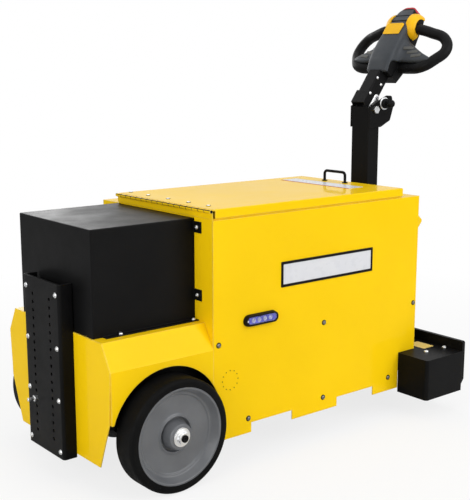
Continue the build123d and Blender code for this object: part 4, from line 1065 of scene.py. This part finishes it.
rib_rows = [(0.2300, 0.0715, 0.036), (0.2165, 0.0920, 0.040), (0.2030, 0.1130, 0.038)]  # along, out, length
rib_turn = radians(9)
rib_seats = []
for run, out, length in rib_rows:
    run_half = sin(rib_turn) * length / 2
    out_half = cos(rib_turn) * length / 2
    inner_end = cover_height(run - run_half, out - out_half)
    outer_end = cover_height(run + run_half, out + out_half)
    rib_seats.append((run, out, length, (inner_end + outer_end) / 2, atan2(outer_end - inner_end, length)))
fit_head(cover, "head_cover", "grey_plastic", 60.0)
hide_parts("head_upper")
print("rib seats:", [[round(value, 4) for value in seat] for seat in rib_seats])

# %% [markdown]
# Two narrow caps follow the cover, with dark grooves between them, and the spine's black core shows
# below and between the grey pieces.

# %% Head caps and core
cap_stations = {
    "head_cap_lower": [
        (0.3230, 0.0420, 0.0375, 0.031, 0.0480), (0.3340, 0.0405, 0.0360, 0.031, 0.0452),
        (0.3440, 0.0390, 0.0345, 0.030, 0.0440),
    ],
    "head_cap_upper": [
        (0.3475, 0.0385, 0.0335, 0.029, 0.0430), (0.3600, 0.0360, 0.0310, 0.028, 0.0395),
        (0.3740, 0.0310, 0.0250, 0.026, 0.0370),
    ],
}
for name, stations in cap_stations.items():
    cap = draw_out(stations)
    round_edges(0.0022, 4, above(0.034))
    fit_head(cap, name, "grey_plastic")
core_stations = [
    (0.1285, 0.0425, 0.0420, -0.004, 0.0345), (0.1800, 0.0475, 0.0450, -0.004, 0.0440),
    (0.2360, 0.0480, 0.0420, -0.004, 0.0500), (0.2900, 0.0450, 0.0390, -0.004, 0.0480),
    (0.3450, 0.0430, 0.0390, -0.004, 0.0395), (0.3840, 0.0390, 0.0350, -0.004, 0.0330),
]
core = draw_out(core_stations)
round_edges(0.0240, 8, lambda middle, run: middle.x > 0.3835 and abs(run.z) > 0.8)
round_edges(0.0035, 4, above(0.030))
fit_head(core, "head_core", "black_plastic")

# %% [markdown]
# A red button ends the spine.  It is pressed by the operator's body, so it is as wide as the spine and
# well rounded.

# %% Tip button
tip_low = -0.0190
tip_high = 0.0325
tip = block((0.3600, -0.0365, tip_low), (0.3900, 0.0365, tip_high))
round_edges(0.0280, 10, lambda middle, run: middle.x > 0.389 and abs(run.z) > 0.8)
round_edges(0.0040, 4, lambda middle, run: min(abs(middle.z - tip_high), abs(middle.z - tip_low)) < hair)
fit_head(tip, "red_tip", "red_plastic")
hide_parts("tip_button")

# %% [markdown]
# The thumb paddles are yellow half cups round the upper ends of the grips.
#
# A cup like this is turned from a short profile, but only half way round: the filled profile is spun by a
# little over half a turn, which leaves a closed crescent.  Its heavy side is then turned forward.

# %% Thumb paddles
paddle_line = [
    (0.0360, 0.0470), (0.0480, 0.0455), (0.0580, 0.0405), (0.0635, 0.0330), (0.0640, 0.0275),
    (0.0590, 0.0285), (0.0520, 0.0330), (0.0360, 0.0350), (0.0360, 0.0470),
]
paddles = []
for side in (-1, 1):
    paddle = profile([(side * out, radius) for out, radius in paddle_line], {2: 0.006, 3: 0.005, 4: 0.002}, 3)
    bpy.ops.mesh.edge_face_add()
    bpy.ops.mesh.spin(steps=28, angle=radians(188), center=(0, 0, 0), axis=(0, 1, 0))
    weld()
    bpy.ops.object.mode_set(mode="OBJECT")
    heavy = sum((vert.co for vert in paddle.data.vertices), Vector()) / len(paddle.data.vertices)
    paddle.rotation_euler = (0, atan2(heavy.z, heavy.x) - radians(95), 0)
    paddle.location = (0.3240, 0, 0.0030)
    paddles.append(paddle)
paddle_pair = fit_head(join(paddles), "yellow_paddles", "yellow_plastic")
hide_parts("thumb_paddles")

# %% [markdown]
# The loop grips are round bars that droop a little at the outside.
#
# A bent bar is easiest as a curve with a round section, turned into a mesh once its bends are right.  The
# curve's points are the bends a hand would feel: out along the foot, round the bow, and back to the spine.

# %% Loop grips
grip_points = [
    # along, out, rise
    (0.178, 0.020, -0.0140), (0.173, 0.082, -0.0140), (0.176, 0.140, -0.0080),
    (0.206, 0.171, -0.0130), (0.249, 0.191, -0.0200), (0.287, 0.172, -0.0140),
    (0.303, 0.117, 0.0020), (0.310, 0.077, 0.0105), (0.322, 0.030, 0.0060),
]
for side_name, side in sides:
    begin()
    bpy.ops.curve.primitive_bezier_curve_add(location=(0, 0, 0))
    grip = bpy.context.object
    route = grip.data.splines[0]
    route.bezier_points.add(len(grip_points) - len(route.bezier_points))
    for knot, (run, out, rise) in zip(route.bezier_points, grip_points):
        knot.co = (run, side * out, rise)
        knot.handle_left_type = knot.handle_right_type = "AUTO"
    grip.data.dimensions = "3D"
    grip.data.resolution_u = 10
    grip.data.bevel_depth = 0.0174
    grip.data.bevel_resolution = 8
    grip.data.use_fill_caps = True
    bpy.ops.object.convert(target="MESH")
    bpy.ops.object.mode_set(mode="EDIT")
    weld()
    loop = fit_head(bpy.context.object, "loop_grip_" + side_name, "black_plastic", 60.0)
    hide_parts("grip_" + side_name)

# %% [markdown]
# Ribbed pads on the wings keep a thumb from slipping.  Each has three low ribs that run across, tilted to
# the slope that was measured on the cover.

# %% Wing pads
rib_half = 0.0056
rib_top = 0.0022
for side_name, side in sides:
    ribs = []
    for run, out, length, height, slope in rib_seats:
        rib = block((-rib_half, -length / 2, -0.0060), (rib_half, length / 2, rib_top))
        round_edges(0.0030, 4, along("z"))
        round_edges(0.0018, 3, above(rib_top - 0.0001))
        rib.location = (run, side * out, height)
        rib.rotation_euler = (side * slope, 0, -side * rib_turn)
        ribs.append(rib)
    fit_head(join(ribs), "wing_ribs_" + side_name, "grey_plastic", finish="pad_rubber")

# %% [markdown]
# A zinc index plate lies against the right cheek.  The pin of the knob drops behind its nose and holds the
# tiller up, and a dark screw keeps the nose on the arm.
#
# Its outline is the belt round a large and a small disc, which is just what a convex hull gives.

# %% Index plate
plate_low = 0.0285
plate_high = 0.0309
plate = disc(48, 0.0200, plate_low, plate_high)
nose = Vector((0.0410, 0.0085, (plate_low + plate_high) / 2))
bpy.ops.mesh.primitive_cylinder_add(vertices=32, radius=0.0110, depth=plate_high - plate_low, location=nose)
bpy.ops.mesh.select_all(action="SELECT")
bpy.ops.mesh.convex_hull()
bpy.ops.mesh.select_all(action="SELECT")
bpy.ops.mesh.dissolve_limited(angle_limit=radians(1))
round_edges(0.0007, 3, above(plate_high - 0.0001))
plate.rotation_euler = (pi / 2, 0, 0)
bake([plate])
fit_head(plate, "index_plate", "zinc")
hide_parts("index_tab")
nose_seat = head_space @ Vector((nose.x, -plate_high, nose.y))
repeat(small_screw, "nose_screw", "zinc", [(nose_seat, to_right)], "tiller", "dark_zinc")

# %% [markdown]
# Bright bolts clamp the arm in its bracket.  The index knob stands on a black boss with a zinc washer under
# it.

# %% Tiller bolts and knob
arm_rows = ((0.0985, 0.0390, 0.0250), (0.0900, 0.0120, 0.0250), (0.0370, 0.0400, 0.0284))  # along, rise, out
arm_places = []
for side in (-1, 1):
    for run, rise, out in arm_rows:
        arm_places.append((head_space @ Vector((run, side * out, rise)), (0, side, 0)))
repeat(arm_bolt, "arm_bolts", "zinc", arm_places, "tiller")
knob_low, knob_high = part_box("index_knob")
knob_seat = [(((knob_low.x + knob_high.x) / 2, -0.0440, (knob_low.z + knob_high.z) / 2), to_right)]
washer = disc(40, 0.0206, 0, 0.0034)
round_edges(0.0010, 3, above(0.0033))
inset_face(up, 0.0120, 0.0008)
repeat(washer, "knob_washer", "zinc", knob_seat)
boss = disc(40, 0.0160, 0.0030, 0.0135)
round_edges(0.0030, 4, above(0.0134))
repeat(boss, "knob_boss", "black_plastic", knob_seat)

# %% [markdown]
# The patterns have done their work and are put away.

# %% Put the patterns away
begin()
for pattern in patterns:
    pattern.select_set(True)
bpy.ops.object.delete()

# %% [markdown]
# The view layer is brought up to date at the end.

# %% Update
bpy.context.view_layer.update()
